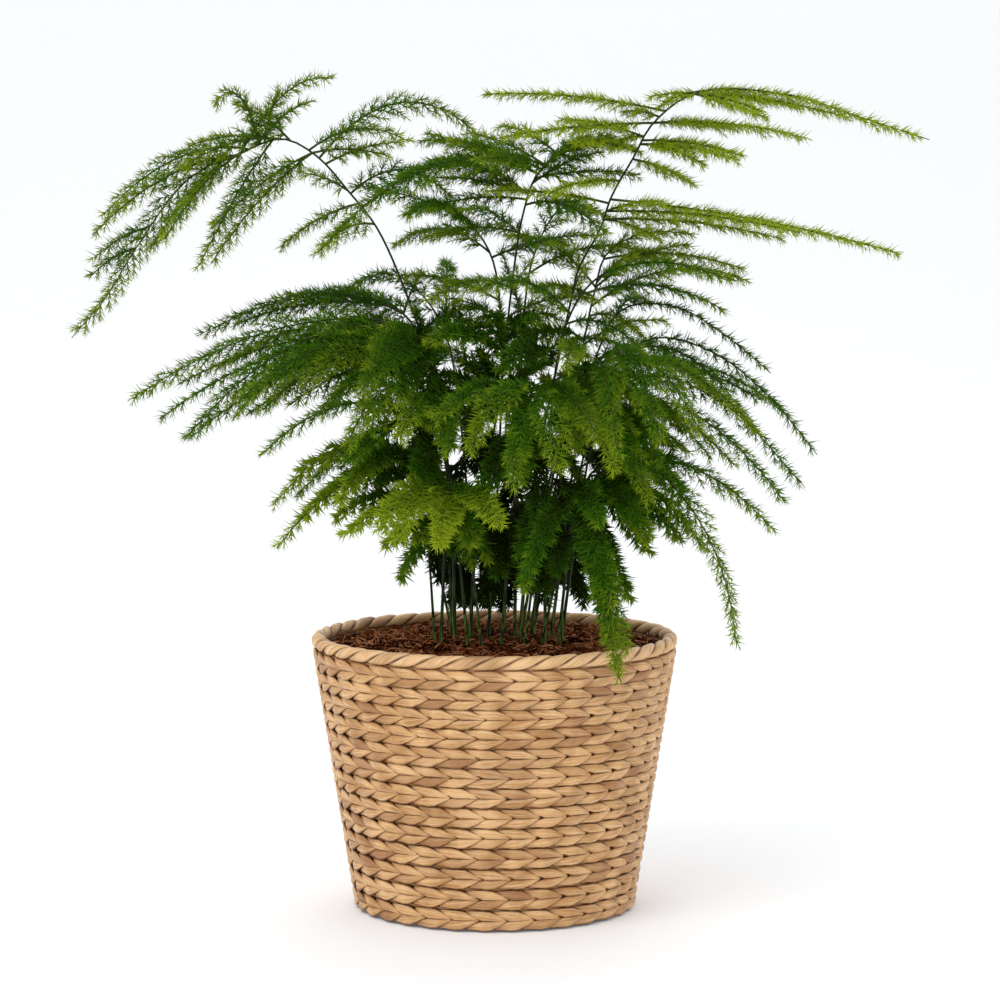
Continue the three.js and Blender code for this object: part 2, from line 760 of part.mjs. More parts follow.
function growStem(name, plan) {
  const ground = new THREE.Vector3(plan.foot[0], plan.foot[1], MULCH_TOP + 6);
  const curve = new THREE.CatmullRomCurve3([ground, ...plan.stem.map((point) => new THREE.Vector3(...point))]);
  const length = curve.getLength();
  const skin = new Skin();
  const footEnd = new THREE.Vector3(plan.foot[0], plan.foot[1], SOIL_TOP - HOLE_DEPTH + GAP);
  const footRing = skin.ring(footEnd, SKY, STEM_UP, STEM_RADIUS);
  skin.face([...footRing].reverse());
  const groundRing = skin.ring(ground, SKY, STEM_UP, STEM_RADIUS);
  skin.wall(footRing, groundRing);
  const joints = plan.plumes.map(([share]) => share);
  const leafy = nodesAlong(length, plan.leafy);
  const bends = Array.from({ length: STEM_BENDS }, (_, i) => (i + 1) / (STEM_BENDS + 1));
  const rings = ringPlan(length, [...joints, ...leafy], bends);
  const radiusAt = (share) => (
    STEM_RADIUS + (STEM_TIP_RADIUS - STEM_RADIUS) * Math.min(1, share / plan.leafy)
  );
  const stretches = growBranch(skin, curve, groundRing, rings, radiusAt, STEM_UP);
  return {
    name, plan, skin, curve, footEnd, stretches, width: plan.width,
    shareOf: (share) => (share - plan.leafy) / (1 - plan.leafy),
  };
}

// A plume's main line leaves the stem at its joint and arches to its tip.
function growPlume(thicket, shoot, [share, x, y, z, lift, width]) {
  const { skin, name, plan } = shoot;
  const joint = shoot.stretches.find((stretch) => stretch.share === share);
  const tip = new THREE.Vector3(x, y, z);
  const along = tip.clone().sub(shoot.curve.getPointAt(share)).normalize();
  const face = skin.facing(joint.wall, along);
  const curve = arch(skin.centre(face), tip, lift);
  const length = curve.getLength();
  const rings = ringPlan(length, nodesAlong(length, PLUME_BARE));
  const up = skin.upOver(face, curve.getTangentAt(0));
  const stretches = growBranch(skin, curve, face, rings, () => RACHIS_RADIUS, up);
  const clash = curve.getSpacedPoints(8).slice(1).some((point, i, points) => (
    i > 0 && !thicket.clears(points[i - 1], point, RACHIS_RADIUS, `${name} ${share}`, 1)
  ));
  return { name, plan, skin, curve, stretches, width, clash, shareOf: (at) => (at - PLUME_BARE) / (1 - PLUME_BARE) };
}

// All shoots' stems come first, then the plumes' main lines, their twigs, and last the needles.
function growFern() {
  const thicket = new Thicket();
  const stems = Object.entries(SHOOTS).map(([name, plan]) => growStem(name, plan));
  const clashes = [];
  stems.forEach(({ name, curve, footEnd }) => {
    const points = [footEnd, ...curve.getSpacedPoints(24)];
    if (points.some((point, i) => i > 0 && !thicket.clears(points[i - 1], point, STEM_RADIUS, name, 0))) {
      clashes.push(name);
    }
    noteCore(thicket, curve, STEM_RADIUS, name, 24);
  });
  const plumes = stems.flatMap((stem) => stem.plan.plumes.map((plume) => {
    const grown = growPlume(thicket, stem, plume);
    if (grown.clash) {
      clashes.push(`${stem.name} plume at ${plume[0]} to ${plume.slice(1, 4)}`);
    }
    noteCore(thicket, grown.curve, RACHIS_RADIUS, stem.name, 10);
    return grown;
  }));
  if (clashes.length > 0) {
    throw new Error(`These would touch another shoot: ${clashes.join('; ')}`);
  }
  const leafy = stems.map((stem) => ({
    ...stem, stretches: stem.stretches.filter((stretch) => stretch.share >= stem.plan.leafy),
  }));
  const branches = [...leafy, ...plumes];
  const twigs = branches.map((branch) => growTwigs(thicket, branch));
  branches.forEach((branch, i) => {
    growNeedles(thicket, branch.skin, branch.name, [...twigs[i], ...branch.stretches]);
  });
  return stems;
}

const model = new THREE.Group();

function add(name, geometry, look) {
  const mesh = new THREE.Mesh(geometry, finish(look));
  mesh.name = name;
  model.add(mesh);
}

add('basket_wall', basketWall(), 'hyacinth');
add('basket_rim', basketRim(), 'hyacinthRope');
add('basket_base', basketBase(), 'hyacinth');
add('inner_pot', innerPot(), 'potPlastic');
add('soil', soil(), 'soil');
add('mulch', mulch(), 'mulch');
growFern().forEach(({ name, skin }) => add(`shoot_${name}`, skin.geometry(), 'fern'));

export default model;
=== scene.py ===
import bisect
import json
import math
import random

import bmesh
import bpy
import numpy as np
from bpy.props import FloatProperty, FloatVectorProperty, IntProperty, PointerProperty
from mathutils import Matrix, Quaternion, Vector, geometry, noise

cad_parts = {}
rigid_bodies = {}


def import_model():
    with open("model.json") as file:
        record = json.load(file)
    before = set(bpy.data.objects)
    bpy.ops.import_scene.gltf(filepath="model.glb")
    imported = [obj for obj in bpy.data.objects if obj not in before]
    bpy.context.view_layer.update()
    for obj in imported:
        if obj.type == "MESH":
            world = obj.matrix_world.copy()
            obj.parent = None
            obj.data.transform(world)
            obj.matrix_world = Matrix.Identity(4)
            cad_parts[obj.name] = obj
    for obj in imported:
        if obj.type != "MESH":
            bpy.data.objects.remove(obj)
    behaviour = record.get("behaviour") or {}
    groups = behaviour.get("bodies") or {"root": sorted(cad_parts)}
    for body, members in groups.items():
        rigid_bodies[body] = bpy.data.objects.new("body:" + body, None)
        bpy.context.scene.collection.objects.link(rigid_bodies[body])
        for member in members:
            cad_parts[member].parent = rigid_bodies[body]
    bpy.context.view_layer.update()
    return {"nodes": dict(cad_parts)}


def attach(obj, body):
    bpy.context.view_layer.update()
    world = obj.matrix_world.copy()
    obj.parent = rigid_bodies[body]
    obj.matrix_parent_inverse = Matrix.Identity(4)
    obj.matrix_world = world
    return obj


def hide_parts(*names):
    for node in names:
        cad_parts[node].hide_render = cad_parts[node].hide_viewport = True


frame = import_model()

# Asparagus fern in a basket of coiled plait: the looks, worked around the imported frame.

bl_info = {
    "name": "Potted asparagus fern",
    "version": (1, 0, 0),
    "blender": (4, 5, 0),
    "location": "3D View > Sidebar > Fern",
    "description": "Dresses a potted asparagus fern: plaited basket, shredded mulch and feathery shoots",
    "category": "Add Mesh",
}

MM = 0.001
BODY = "root"

# Sizes of the frame that the pieces are worked out from, in millimetres, but for the slope of the
# wall and the share of a plume's length that is bare.
BASKET_HEIGHT = 165.0
ROPE_THICKNESS = 9.0
RIM_TOP = BASKET_HEIGHT + 0.6
RIM_UNDERSIDE = RIM_TOP - ROPE_THICKNESS
RIM_RADIUS = 110.0
FOOT_RADIUS = 84.0
WALL_SLOPE = 0.16
WALL_THICKNESS = 8.5
BASE_THICKNESS = 8.0
SOIL_TOP = 147.0
MULCH_BOTTOM = 147.3
MULCH_TOP = 156.0
MULCH_MOUND = 2.5
HOLE_DEPTH = 18.0
FOOT_GAP = 0.3
STRAIGHT_ABOVE_MULCH = 6.0
STEM_RADIUS = 1.4
STEM_TIP_RADIUS = 0.6
PLUME_BARE = 0.1

# Each shoot, in millimetres: its foot (x, y), the points that its stem passes above the soil, the
# share of the stem after which it is leafy, the roll of its plumes in degrees, the width of its leafy
# end, how fresh its green is, and its plumes as (share of the stem, tip x, y, z, lift, width).
SHOOTS = {
    "tall_left": {
        "foot": (-24, 2),
        "stem": ((-26, 0, 245), (-36, 0, 317), (-51, 0, 364), (-70, 5, 407), (-87, 5, 429), (-106, 5, 450),
                 (-126, 4, 460), (-150, 2, 452), (-182, 0, 436), (-214, -8, 393), (-230, -16, 366),
                 (-249, -25, 343)),
        "leafy": 0.7, "roll": 58, "width": 22, "fresh": 0.5,
        "plumes": ((0.7, -97, 20, 496, 14, 6), (0.675, -165, -12, 479, 18, 9),
                   (0.69, -234, 16, 415, 14, 20), (0.66, -172, -42, 386, 4, 12),
                   (0.6, -10, 42, 463, 26, 18), (0.615, -50, -24, 458, 10, 5),
                   (0.53, -129, 34, 396, 4, 6), (0.545, -25, 44, 424, 16, 16),
                   (0.5, -104, -24, 393, 6, 12)),
    },
    "tall_right": {
        "foot": (15, 4),
        "stem": ((24, 2, 257), (38, 0, 329), (45, 0, 362), (50, 0, 383), (63, 0, 407), (69, 0, 425),
                 (83, 0, 450), (93, 0, 468), (119, -6, 487), (170, -14, 486), (218, -22, 471),
                 (254, -30, 459)),
        "leafy": 0.71, "roll": 14, "width": 13, "fresh": 0.9,
        "plumes": ((0.67, -7, 30, 487, 4, 12), (0.65, 190, 50, 461, 4, 14), (0.625, 144, -50, 449, 3, 16),
                   (0.6, 120, 40, 434, 2, 16), (0.545, 237, -24, 393, 4, 16), (0.57, 32, -60, 428, 3, 8),
                   (0.65, 3, -50, 460, 2, 14)),
    },
    "centre_tall": {
        "foot": (-15, 12),
        "stem": ((-9, 8, 245), (3, 4, 305), (10, 2, 371), (17, 0, 416), (26, -2, 440), (48, -8, 455),
                 (72, -14, 461)),
        "leafy": 0.88, "roll": 28, "width": 16, "fresh": 0.45,
        "plumes": ((0.84, -101, -50, 395, 26, 24), (0.86, 90, 56, 452, 12, 20), (0.78, 64, -46, 405, 8, 18),
                   (0.8, -60, 48, 436, 14, 18)),
    },
    "centre_left": {
        "foot": (-4, 12),
        "stem": ((2, 20, 256), (4, 26, 346), (-2, 24, 390), (-16, 20, 410), (-44, 16, 424), (-88, 16, 434)),
        "leafy": 0.78, "roll": 26, "width": 14, "fresh": 0.4,
        "plumes": ((0.74, -52, -62, 415, 12, 18), (0.7, -62, 70, 396, 12, 18)),
    },
    "right_upper": {
        "foot": (22, 22),
        "stem": ((36, 24, 261), (52, 24, 330), (60, 24, 368), (68, 28, 392), (92, 34, 404), (124, 40, 403)),
        "leafy": 0.78, "roll": 22, "width": 16, "fresh": 0.6,
        "plumes": ((0.72, 9, 64, 402, 10, 18), (0.68, 150, 4, 376, 14, 18)),
    },
    "right_middle": {
        "foot": (30, -6),
        "stem": ((32, -14, 280), (42, -20, 350), (60, -24, 378), (96, -44, 388), (139, -70, 378)),
        "leafy": 0.72, "roll": 26, "width": 13, "fresh": 0.4,
        "plumes": ((0.66, 134, -24, 360, 10, 12), (0.62, -10, -72, 372, 12, 18)),
    },
    "right_arc": {
        "foot": (34, 8),
        "stem": ((50, 14, 280), (62, 22, 332), (78, 34, 358), (110, 46, 359), (144, 52, 339),
                 (169, 52, 318)),
        "leafy": 0.68, "roll": 50, "width": 2, "fresh": 0.25,
        "plumes": ((0.6, 96, 92, 360, 10, 5),),
    },
    "right_reach": {
        "foot": (40, -2),
        "stem": ((51, -2, 240), (60, 0, 287), (74, 0, 328), (96, -2, 342), (129, -2, 334), (163, -2, 308),
                 (193, 0, 272)),
        "leafy": 0.6, "roll": 52, "width": 3, "fresh": 0.25,
        "plumes": ((0.52, 176, 34, 296, 14, 4), (0.56, 152, -38, 290, 18, 6)),
    },
    "right_low": {
        "foot": (38, -14),
        "stem": ((50, -28, 262), (64, -34, 306), (92, -44, 322), (136, -56, 304), (180, -64, 258)),
        "leafy": 0.58, "roll": 50, "width": 8, "fresh": 0.3,
        "plumes": ((0.5, 166, -96, 252, 22, 9),),
    },
    "right_hanging": {
        "foot": (28, -18),
        "stem": ((44, -44, 232), (58, -60, 268), (82, -72, 276), (114, -84, 246), (132, -90, 208),
                 (139, -92, 169)),
        "leafy": 0.5, "roll": 45, "width": 16, "fresh": 0.5,
        "plumes": ((0.42, 163, -60, 232, 22, 16),),
    },
    "rim_spray": {
        "foot": (18, -24),
        "stem": ((26, -42, 220), (38, -58, 254), (52, -84, 244), (64, -106, 200), (72, -116, 150)),
        "leafy": 0.5, "roll": 30, "width": 12, "fresh": 0.45,
        "plumes": ((0.5, 16, -118, 206, 12, 12),),
    },
    "front_middle": {
        "foot": (4, -22),
        "stem": ((12, -32, 250), (24, -42, 300), (24, -66, 318), (16, -100, 300), (9, -128, 262)),
        "leafy": 0.66, "roll": 20, "width": 20, "fresh": 0.46,
        "plumes": ((0.6, 68, -132, 272, 20, 12), (0.56, -34, -112, 300, 16, 18)),
    },
    "front_right": {
        "foot": (15, -12),
        "stem": ((34, -30, 266), (50, -42, 320), (70, -62, 336), (96, -88, 326), (118, -112, 292)),
        "leafy": 0.66, "roll": 25, "width": 20, "fresh": 0.42,
        "plumes": ((0.6, 40, -114, 330, 14, 18), (0.62, 152, -70, 290, 20, 16)),
    },
    "left_reach": {
        "foot": (-32, -10),
        "stem": ((-29, -14, 276), (-38, -16, 332), (-64, -16, 352), (-120, -14, 350), (-175, -12, 330),
                 (-218, -10, 305)),
        "leafy": 0.58, "roll": 46, "width": 24, "fresh": 0.38,
        "plumes": ((0.52, -180, -62, 285, 24, 20), (0.45, -160, 44, 290, 30, 18),
                   (0.48, -70, -62, 340, 10, 16)),
    },
    "left_high": {
        "foot": (-26, 16),
        "stem": ((-30, 26, 270), (-40, 38, 330), (-60, 46, 358), (-100, 50, 366), (-144, 48, 358),
                 (-182, 44, 341)),
        "leafy": 0.62, "roll": 38, "width": 20, "fresh": 0.3,
        "plumes": ((0.58, -86, 90, 366, 5, 12), (0.6, -44, 70, 380, 4, 9)),
    },
    "left_front": {
        "foot": (-16, -20),
        "stem": ((-26, -40, 256), (-38, -56, 300), (-56, -80, 318), (-72, -104, 308), (-84, -124, 284)),
        "leafy": 0.62, "roll": 30, "width": 20, "fresh": 0.46,
        "plumes": ((0.55, -133, -92, 279, 22, 12),),
    },
    "left_low": {
        "foot": (-36, 2),
        "stem": ((-42, -14, 236), (-52, -24, 272), (-78, -32, 282), (-106, -38, 270), (-130, -42, 246)),
        "leafy": 0.55, "roll": 44, "width": 12, "fresh": 0.7,
        "plumes": ((0.48, -126, -70, 223, 18, 9), (0.46, -104, 4, 246, 16, 7)),
    },
    "left_facing": {
        "foot": (-8, -28),
        "stem": ((-16, -44, 226), (-26, -60, 252), (-40, -88, 258), (-56, -116, 232)),
        "leafy": 0.55, "roll": 26, "width": 18, "fresh": 0.85,
        "plumes": ((0.46, -86, -84, 233, 14, 13),),
    },
    "back_middle": {
        "foot": (6, 34),
        "stem": ((6, 60, 260), (10, 82, 326), (16, 112, 344), (22, 148, 316)),
        "leafy": 0.66, "roll": 20, "width": 20, "fresh": 0.3,
        "plumes": ((0.6, 84, 124, 330, 16, 18), (0.58, -56, 132, 322, 16, 18)),
    },
    "back_left": {
        "foot": (-14, 28),
        "stem": ((-20, 50, 280), (-34, 68, 350), (-66, 92, 378), (-110, 112, 358)),
        "leafy": 0.68, "roll": 30, "width": 20, "fresh": 0.3,
        "plumes": ((0.62, -30, 128, 384, 12, 18), (0.58, -122, 74, 320, 18, 16)),
    },
    "back_right": {
        "foot": (24, 36),
        "stem": ((40, 58, 262), (56, 76, 318), (94, 96, 334), (142, 108, 300)),
        "leafy": 0.64, "roll": 30, "width": 20, "fresh": 0.3,
        "plumes": ((0.56, 58, 140, 290, 18, 18), (0.54, 134, 64, 264, 18, 16)),
    },
    "back_low": {
        "foot": (-26, 30),
        "stem": ((-42, 48, 226), (-58, 64, 262), (-90, 82, 268), (-126, 94, 238)),
        "leafy": 0.6, "roll": 30, "width": 18, "fresh": 0.3,
        "plumes": ((0.52, -36, 116, 250, 16, 16),),
    },
    "back_high": {
        "foot": (12, 22),
        "stem": ((16, 46, 320), (24, 62, 390), (44, 84, 420), (76, 104, 412)),
        "leafy": 0.78, "roll": 20, "width": 18, "fresh": 0.4,
        "plumes": ((0.74, -24, 104, 416, 12, 16), (0.7, 110, 84, 384, 14, 16)),
    },
}

# Smaller plumes that fill the shoots out between those of the frame, written in the same way and
# placed one by one.
FILLING = {
    "tall_left": ((0.61, -165, -20, 409, 4, 14), (0.64, -154, 0, 480, 4, 14),
                  (0.67, -128, 10, 489, 5, 7), (0.65, -184, -12, 443, 6, 9),
                  (0.61, -63, 0, 450, 3, 4), (0.72, -207, 20, 394, 4, 16),
                  (0.31, -33, 0, 335, 6, 18), (0.34, -15, 10, 352, 6, 16), (0.68, -108, 0, 482, 5, 4),
                  (0.66, -182, 10, 456, 4, 10), (0.71, -238, -10, 403, 10, 9),
                  (0.69, -193, -30, 401, 8, 10), (0.84, -236, -15, 390, 3, 4),
                  (0.87, -238, -20, 379, 3, 4), (0.61, -166, -30, 387, 6, 11), (0.59, -56, 0, 458, 3, 4),
                  (0.55, -114, 0, 440, 2, 8)),
    "tall_right": ((0.54, -6, -20, 429, 3, 12), (0.71, 155, -40, 475, 2, 9),
                   (0.52, 170, -10, 401, 4, 10), (0.63, 39, 0, 472, 2, 12), (0.61, 47, -30, 458, 2, 14),
                   (0.53, 98, -20, 423, 2, 10), (0.23, 52, 20, 255, 8, 20), (0.29, 64, 30, 303, 8, 20),
                   (0.71, 208, -20, 472, 3, 10), (0.71, 180, -10, 479, 2, 10),
                   (0.53, 178, -40, 405, 4, 10), (0.65, 142, 30, 467, 2, 10),
                   (0.62, 143, -30, 447, 3, 12), (0.71, 93, 0, 485, 1, 7), (0.71, 159, -20, 472, 1, 7),
                   (0.66, 76, 10, 476, 2, 9), (0.63, 71, 0, 456, 2, 9), (0.62, 123, -30, 444, 3, 9),
                   (0.52, 98, 0, 401, 2, 10), (0.42, 56, 10, 387, 3, 9), (0.72, 97, 0, 479, 2, 8)),
    "centre_tall": ((0.8, -39, 20, 448, 6, 22), (0.85, -26, -20, 459, 3, 20), (0.83, 87, 20, 439, 3, 12),
                    (0.79, -52, -30, 415, 5, 14), (0.89, 3, 10, 468, 4, 14), (0.73, -45, 30, 400, 5, 14),
                    (0.7, 62, -20, 403, 3, 16), (0.63, -38, -20, 365, 8, 18), (0.58, 63, 10, 364, 6, 18),
                    (0.86, -15, 30, 464, 3, 18), (0.86, -9, -40, 447, 3, 20),
                    (0.82, 63, -20, 452, 3, 16), (0.43, 27, 20, 285, 8, 20), (0.53, -15, 20, 346, 6, 18),
                    (0.53, 27, -10, 353, 6, 11), (0.84, -42, 20, 464, 2, 10),
                    (0.84, -45, 10, 459, 6, 12), (0.8, -35, -10, 437, 3, 10),
                    (0.56, -24, 10, 364, 4, 14), (0.43, 30, -20, 327, 4, 16),
                    (0.83, 56, -20, 462, 4, 12), (0.3, -4, -10, 285, 4, 15), (0.62, 22, 10, 387, 2, 11),
                    (0.5, 3, 0, 365, 2, 11)),
    "centre_left": ((0.61, -57, 10, 379, 5, 10), (0.56, 39, -10, 353, 6, 18),
                    (0.52, -38, -40, 342, 8, 20), (0.69, 45, 30, 397, 4, 16),
                    (0.42, -15, -20, 288, 8, 20), (0.46, 15, 0, 293, 8, 20), (0.42, -20, 0, 329, 4, 16),
                    (0.15, -3, 15, 183, 3, 16), (0.42, -29, -20, 321, 5, 14), (0.45, -10, 0, 335, 3, 13)),
    "right_upper": ((0.66, 95, 50, 335, 8, 9), (0.61, 15, 0, 338, 8, 18), (0.72, 118, 30, 397, 6, 14),
                    (0.7, 21, -20, 371, 5, 16), (0.49, 76, 40, 284, 8, 20), (0.52, 40, 30, 303, 8, 18),
                    (0.73, 84, 10, 391, 3, 12), (0.78, 148, 10, 383, 6, 10), (0.45, 31, 0, 319, 4, 14),
                    (0.6, 104, 20, 351, 6, 9)),
    "right_middle": ((0.54, 3, -60, 326, 8, 20), (0.6, 84, -60, 338, 8, 9),
                     (0.49, 84, -70, 309, 12, 20), (0.43, 49, -60, 285, 8, 20)),
    "right_arc": ((0.48, 113, 40, 308, 8, 14), (0.53, 160, 20, 304, 10, 8)),
    "right_reach": ((0.4, 116, -20, 288, 12, 14), (0.37, 38, -40, 278, 10, 18),
                    (0.33, 86, -20, 259, 8, 16)),
    "right_low": ((0.42, 95, -80, 275, 16, 20), (0.36, 113, -60, 250, 16, 18),
                  (0.5, 60, -100, 294, 12, 20), (0.42, 85, -50, 238, 12, 20), (0.4, 107, -40, 280, 8, 13)),
    "right_hanging": ((0.36, 89, -80, 229, 16, 20), (0.39, 55, -60, 215, 10, 20),
                      (0.3, 79, -60, 192, 10, 14), (0.36, 67, -50, 214, 8, 20),
                      (0.37, 108, -60, 227, 12, 16), (0.37, 90, -60, 220, 8, 12),
                      (0.41, 122, -60, 222, 14, 12)),
    "rim_spray": ((0.37, 38, -70, 211, 8, 18), (0.43, 60, -105, 243, 10, 18),
                  (0.5, 67, -112, 193, 6, 16), (0.43, 15, -80, 223, 8, 16), (0.32, 29, -50, 197, 6, 16),
                  (0.6, 64, -110, 176, 4, 9), (0.62, 76, -112, 168, 4, 9), (0.66, 69, -115, 158, 3, 9)),
    "front_middle": ((0.74, 37, -125, 273, 14, 22), (0.7, -14, -115, 284, 14, 22),
                     (0.61, 59, -120, 290, 12, 22), (0.5, -8, -90, 253, 10, 18),
                     (0.47, 26, -90, 236, 10, 18), (0.52, 14, -100, 266, 10, 22),
                     (0.3, 3, -50, 208, 6, 18), (0.34, 21, -60, 210, 6, 18)),
    "front_right": ((0.64, 69, -130, 282, 14, 14), (0.7, 93, -120, 290, 14, 22),
                    (0.56, 48, -110, 283, 12, 22), (0.56, 88, -100, 254, 14, 20),
                    (0.56, 140, -50, 270, 14, 14), (0.51, 113, -60, 278, 10, 14)),
    "left_reach": ((0.49, -112, -70, 315, 14, 22), (0.48, -76, -110, 315, 14, 22),
                   (0.5, -146, -80, 310, 14, 20), (0.54, -168, 10, 322, 12, 18),
                   (0.48, -99, 10, 319, 10, 20), (0.46, -55, -60, 314, 10, 22),
                   (0.49, -131, -40, 316, 12, 18), (0.44, -43, -60, 297, 8, 20),
                   (0.43, -26, -50, 290, 8, 20), (0.48, -176, -60, 287, 16, 14),
                   (0.46, -143, -40, 299, 14, 20), (0.44, -119, -50, 305, 12, 20),
                   (0.44, -95, -70, 309, 10, 20), (0.49, -198, -20, 295, 18, 7),
                   (0.49, -189, 0, 314, 14, 7), (0.5, -134, -60, 303, 12, 18),
                   (0.47, -104, -30, 299, 10, 16), (0.52, -156, -30, 307, 14, 16)),
    "left_high": ((0.52, -96, -40, 348, 12, 22), (0.6, -129, 20, 364, 8, 18),
                  (0.62, -158, 40, 348, 8, 18), (0.55, -9, 0, 359, 6, 18), (0.51, -56, -10, 347, 8, 20),
                  (0.49, -47, -20, 362, 2, 14)),
    "left_front": ((0.59, -53, -120, 290, 14, 22), (0.67, -71, -90, 293, 12, 22),
                   (0.57, -25, -100, 283, 12, 20), (0.52, -84, -70, 275, 14, 20),
                   (0.52, -43, -80, 258, 8, 18)),
    "left_low": ((0.55, -89, -80, 252, 12, 10), (0.5, -68, -30, 259, 10, 18),
                 (0.48, -20, -30, 236, 8, 18), (0.55, -32, -50, 250, 8, 20),
                 (0.46, -24, -20, 217, 6, 18), (0.41, -93, -60, 240, 8, 8)),
    "left_facing": ((0.6, 3, -110, 241, 10, 18), (0.67, -65, -110, 238, 10, 16),
                    (0.55, -31, -120, 231, 10, 18), (0.48, -55, -60, 204, 10, 12),
                    (0.6, -14, -80, 229, 8, 18), (0.57, -15, -40, 213, 6, 18),
                    (0.57, -3, -50, 214, 6, 18), (0.43, -63, -90, 227, 6, 14)),
    "back_middle": ((0.47, 3, 60, 252, 10, 20), (0.5, 40, 50, 259, 10, 20), (0.4, 22, 30, 187, 8, 20),
                    (0.35, -6, 50, 203, 8, 20), (0.3, 3, 30, 187, 6, 18), (0.32, -12, 20, 214, 6, 20),
                    (0.26, 16, 20, 196, 5, 20), (0.18, -9, 25, 181, 3, 18), (0.2, 6, 30, 177, 3, 18)),
    "back_left": ((0.44, -58, 50, 253, 12, 20), (0.5, -15, 40, 290, 10, 18), (0.36, -27, 40, 241, 8, 20),
                  (0.41, -9, 30, 260, 8, 20), (0.44, -33, 40, 302, 8, 20), (0.24, -30, 20, 212, 6, 20),
                  (0.26, -4, 10, 218, 6, 20), (0.12, -24, 20, 183, 3, 16)),
    "back_right": ((0.41, 77, 50, 240, 12, 20), (0.34, 64, 30, 205, 10, 18), (0.38, 40, 20, 194, 8, 20),
                   (0.29, 31, 40, 180, 6, 18), (0.34, 52, 30, 187, 6, 18), (0.2, 55, 30, 180, 4, 18)),
    "back_low": ((0.35, -27, 10, 208, 8, 18), (0.4, 15, 20, 213, 10, 18), (0.4, -15, 30, 190, 8, 20),
                 (0.48, 0, 35, 196, 8, 20), (0.38, -33, 20, 194, 6, 9), (0.2, -15, 30, 181, 3, 16)),
    "back_high": ((0.6, 5, 40, 390, 2, 11),),
}


# Settings


def length_setting(name, description, usual):
    """A setting that is a length, with its usual value given in millimetres."""
    return FloatProperty(name=name, description=description, default=usual * MM, unit="LENGTH")


def colour_setting(name, description, usual):
    """A setting that is a colour."""
    return FloatVectorProperty(
        name=name, description=description, subtype="COLOR", size=3, default=usual)


class BasketSettings(bpy.types.PropertyGroup):
    """Plait, rope and straw of the basket"""
    courses: IntProperty(name="Courses", description="Rings of plait in the wall", default=13, min=3)
    leaf_pitch: length_setting("Leaf pitch", "Distance from one plait crossing to the next", 16.6)
    strand_width: length_setting("Strand width", "Width of a flattened strand", 6.8)
    strand_thickness: length_setting("Strand thickness", "Thickness of a flattened strand", 3.2)
    sway: length_setting("Sway", "How far a row of leaves lies from the seam of the plait", 3.0)
    weave_depth: length_setting("Weave depth", "How far a strand goes in and out in the plait", 2.0)
    rope_lays: IntProperty(name="Rope lays", description="Full twists of the rim rope", default=20, min=3)
    straw: colour_setting("Straw", "Pale dried stalk", (0.70, 0.40, 0.163))
    tan: colour_setting("Tan", "Usual stalk colour", (0.47, 0.235, 0.074))
    umber: colour_setting("Umber", "Browned stalk", (0.24, 0.080, 0.019))


class MulchSettings(bpy.types.PropertyGroup):
    """Loose bark on the soil"""
    fibres: IntProperty(name="Fibres", description="Curled fibres on the mulch", default=1500, min=0)
    chips: IntProperty(name="Chips", description="Flat bark chips in the mulch", default=250, min=0)
    bark: colour_setting("Bark", "Red-brown bark", (0.19, 0.045, 0.011))
    # Dark bark is both the colour of the darkest shreds and painted shade on the bed, in the hollows between
    # the fibres.
    dark_bark_and_hollow_shade: colour_setting("Dark bark", "Damp bark in the hollows", (0.008, 0.0014, 0.0002))


class FernSettings(bpy.types.PropertyGroup):
    """Needles, twigs and greens of the fern"""
    needle_length: length_setting("Needle length", "Length of a usual needle", 7.0)
    tuft_spacing: length_setting("Tuft spacing", "Distance between tufts along a twig", 1.9)
    twig_spacing: length_setting("Twig spacing", "Distance between side twigs along a plume", 3.7)
    # Deep green is both the colour of dry old needles and painted shade inside the dense mass.
    deep_green_and_shade: colour_setting("Deep green", "Old needles inside", (0.018, 0.027, 0.0025))
    leaf_green: colour_setting("Leaf green", "Grown needles", (0.044, 0.135, 0.005))
    # Young green is the colour of young needles and partly painted light shining through the needles at the
    # tips.
    young_and_lit_green: colour_setting("Young green", "Fresh needles at the tips", (0.29, 0.38, 0.016))
    stem_green: colour_setting("Stem green", "Wiry stems", (0.011, 0.022, 0.003))


class StageSettings(bpy.types.PropertyGroup):
    """Place and lens of the camera"""
    camera_distance: length_setting("Camera distance", "From the basket's axis", 2000)
    camera_height: length_setting("Camera height", "Above the floor", 430)
    camera_side: length_setting("Camera offset", "To the right of the basket's axis", 3.2)
    camera_pitch: FloatProperty(
        name="Camera pitch", description="Downward tilt", default=math.radians(5.288), subtype="ANGLE")
    lens: FloatProperty(name="Lens", description="Focal length", default=120.74, subtype="DISTANCE_CAMERA")


# Lines and their carriers


class Line:
    """A smooth line kept as close points and read by its share of the length."""

    def __init__(self, points):
        self.points = points
        self.lengths = [0.0]
        for a, b in zip(points, points[1:]):
            self.lengths.append(self.lengths[-1] + (b - a).length)
        self.length = self.lengths[-1]

    def at(self, share):
        """The point at a share of the length."""
        target = share * self.length
        last = len(self.points) - 2
        i = min(max(bisect.bisect_right(self.lengths, target) - 1, 0), last)
        span = self.lengths[i + 1] - self.lengths[i]
        return self.points[i].lerp(self.points[i + 1], (target - self.lengths[i]) / span)

    def heading(self, share):
        """The way that the line runs at a share of its length."""
        reach = 0.02
        return (self.at(min(1, share + reach)) - self.at(max(0, share - reach))).normalized()

    def spaced(self, count):
        """Points at even steps, both ends among them."""
        return [self.at(i / count) for i in range(count + 1)]


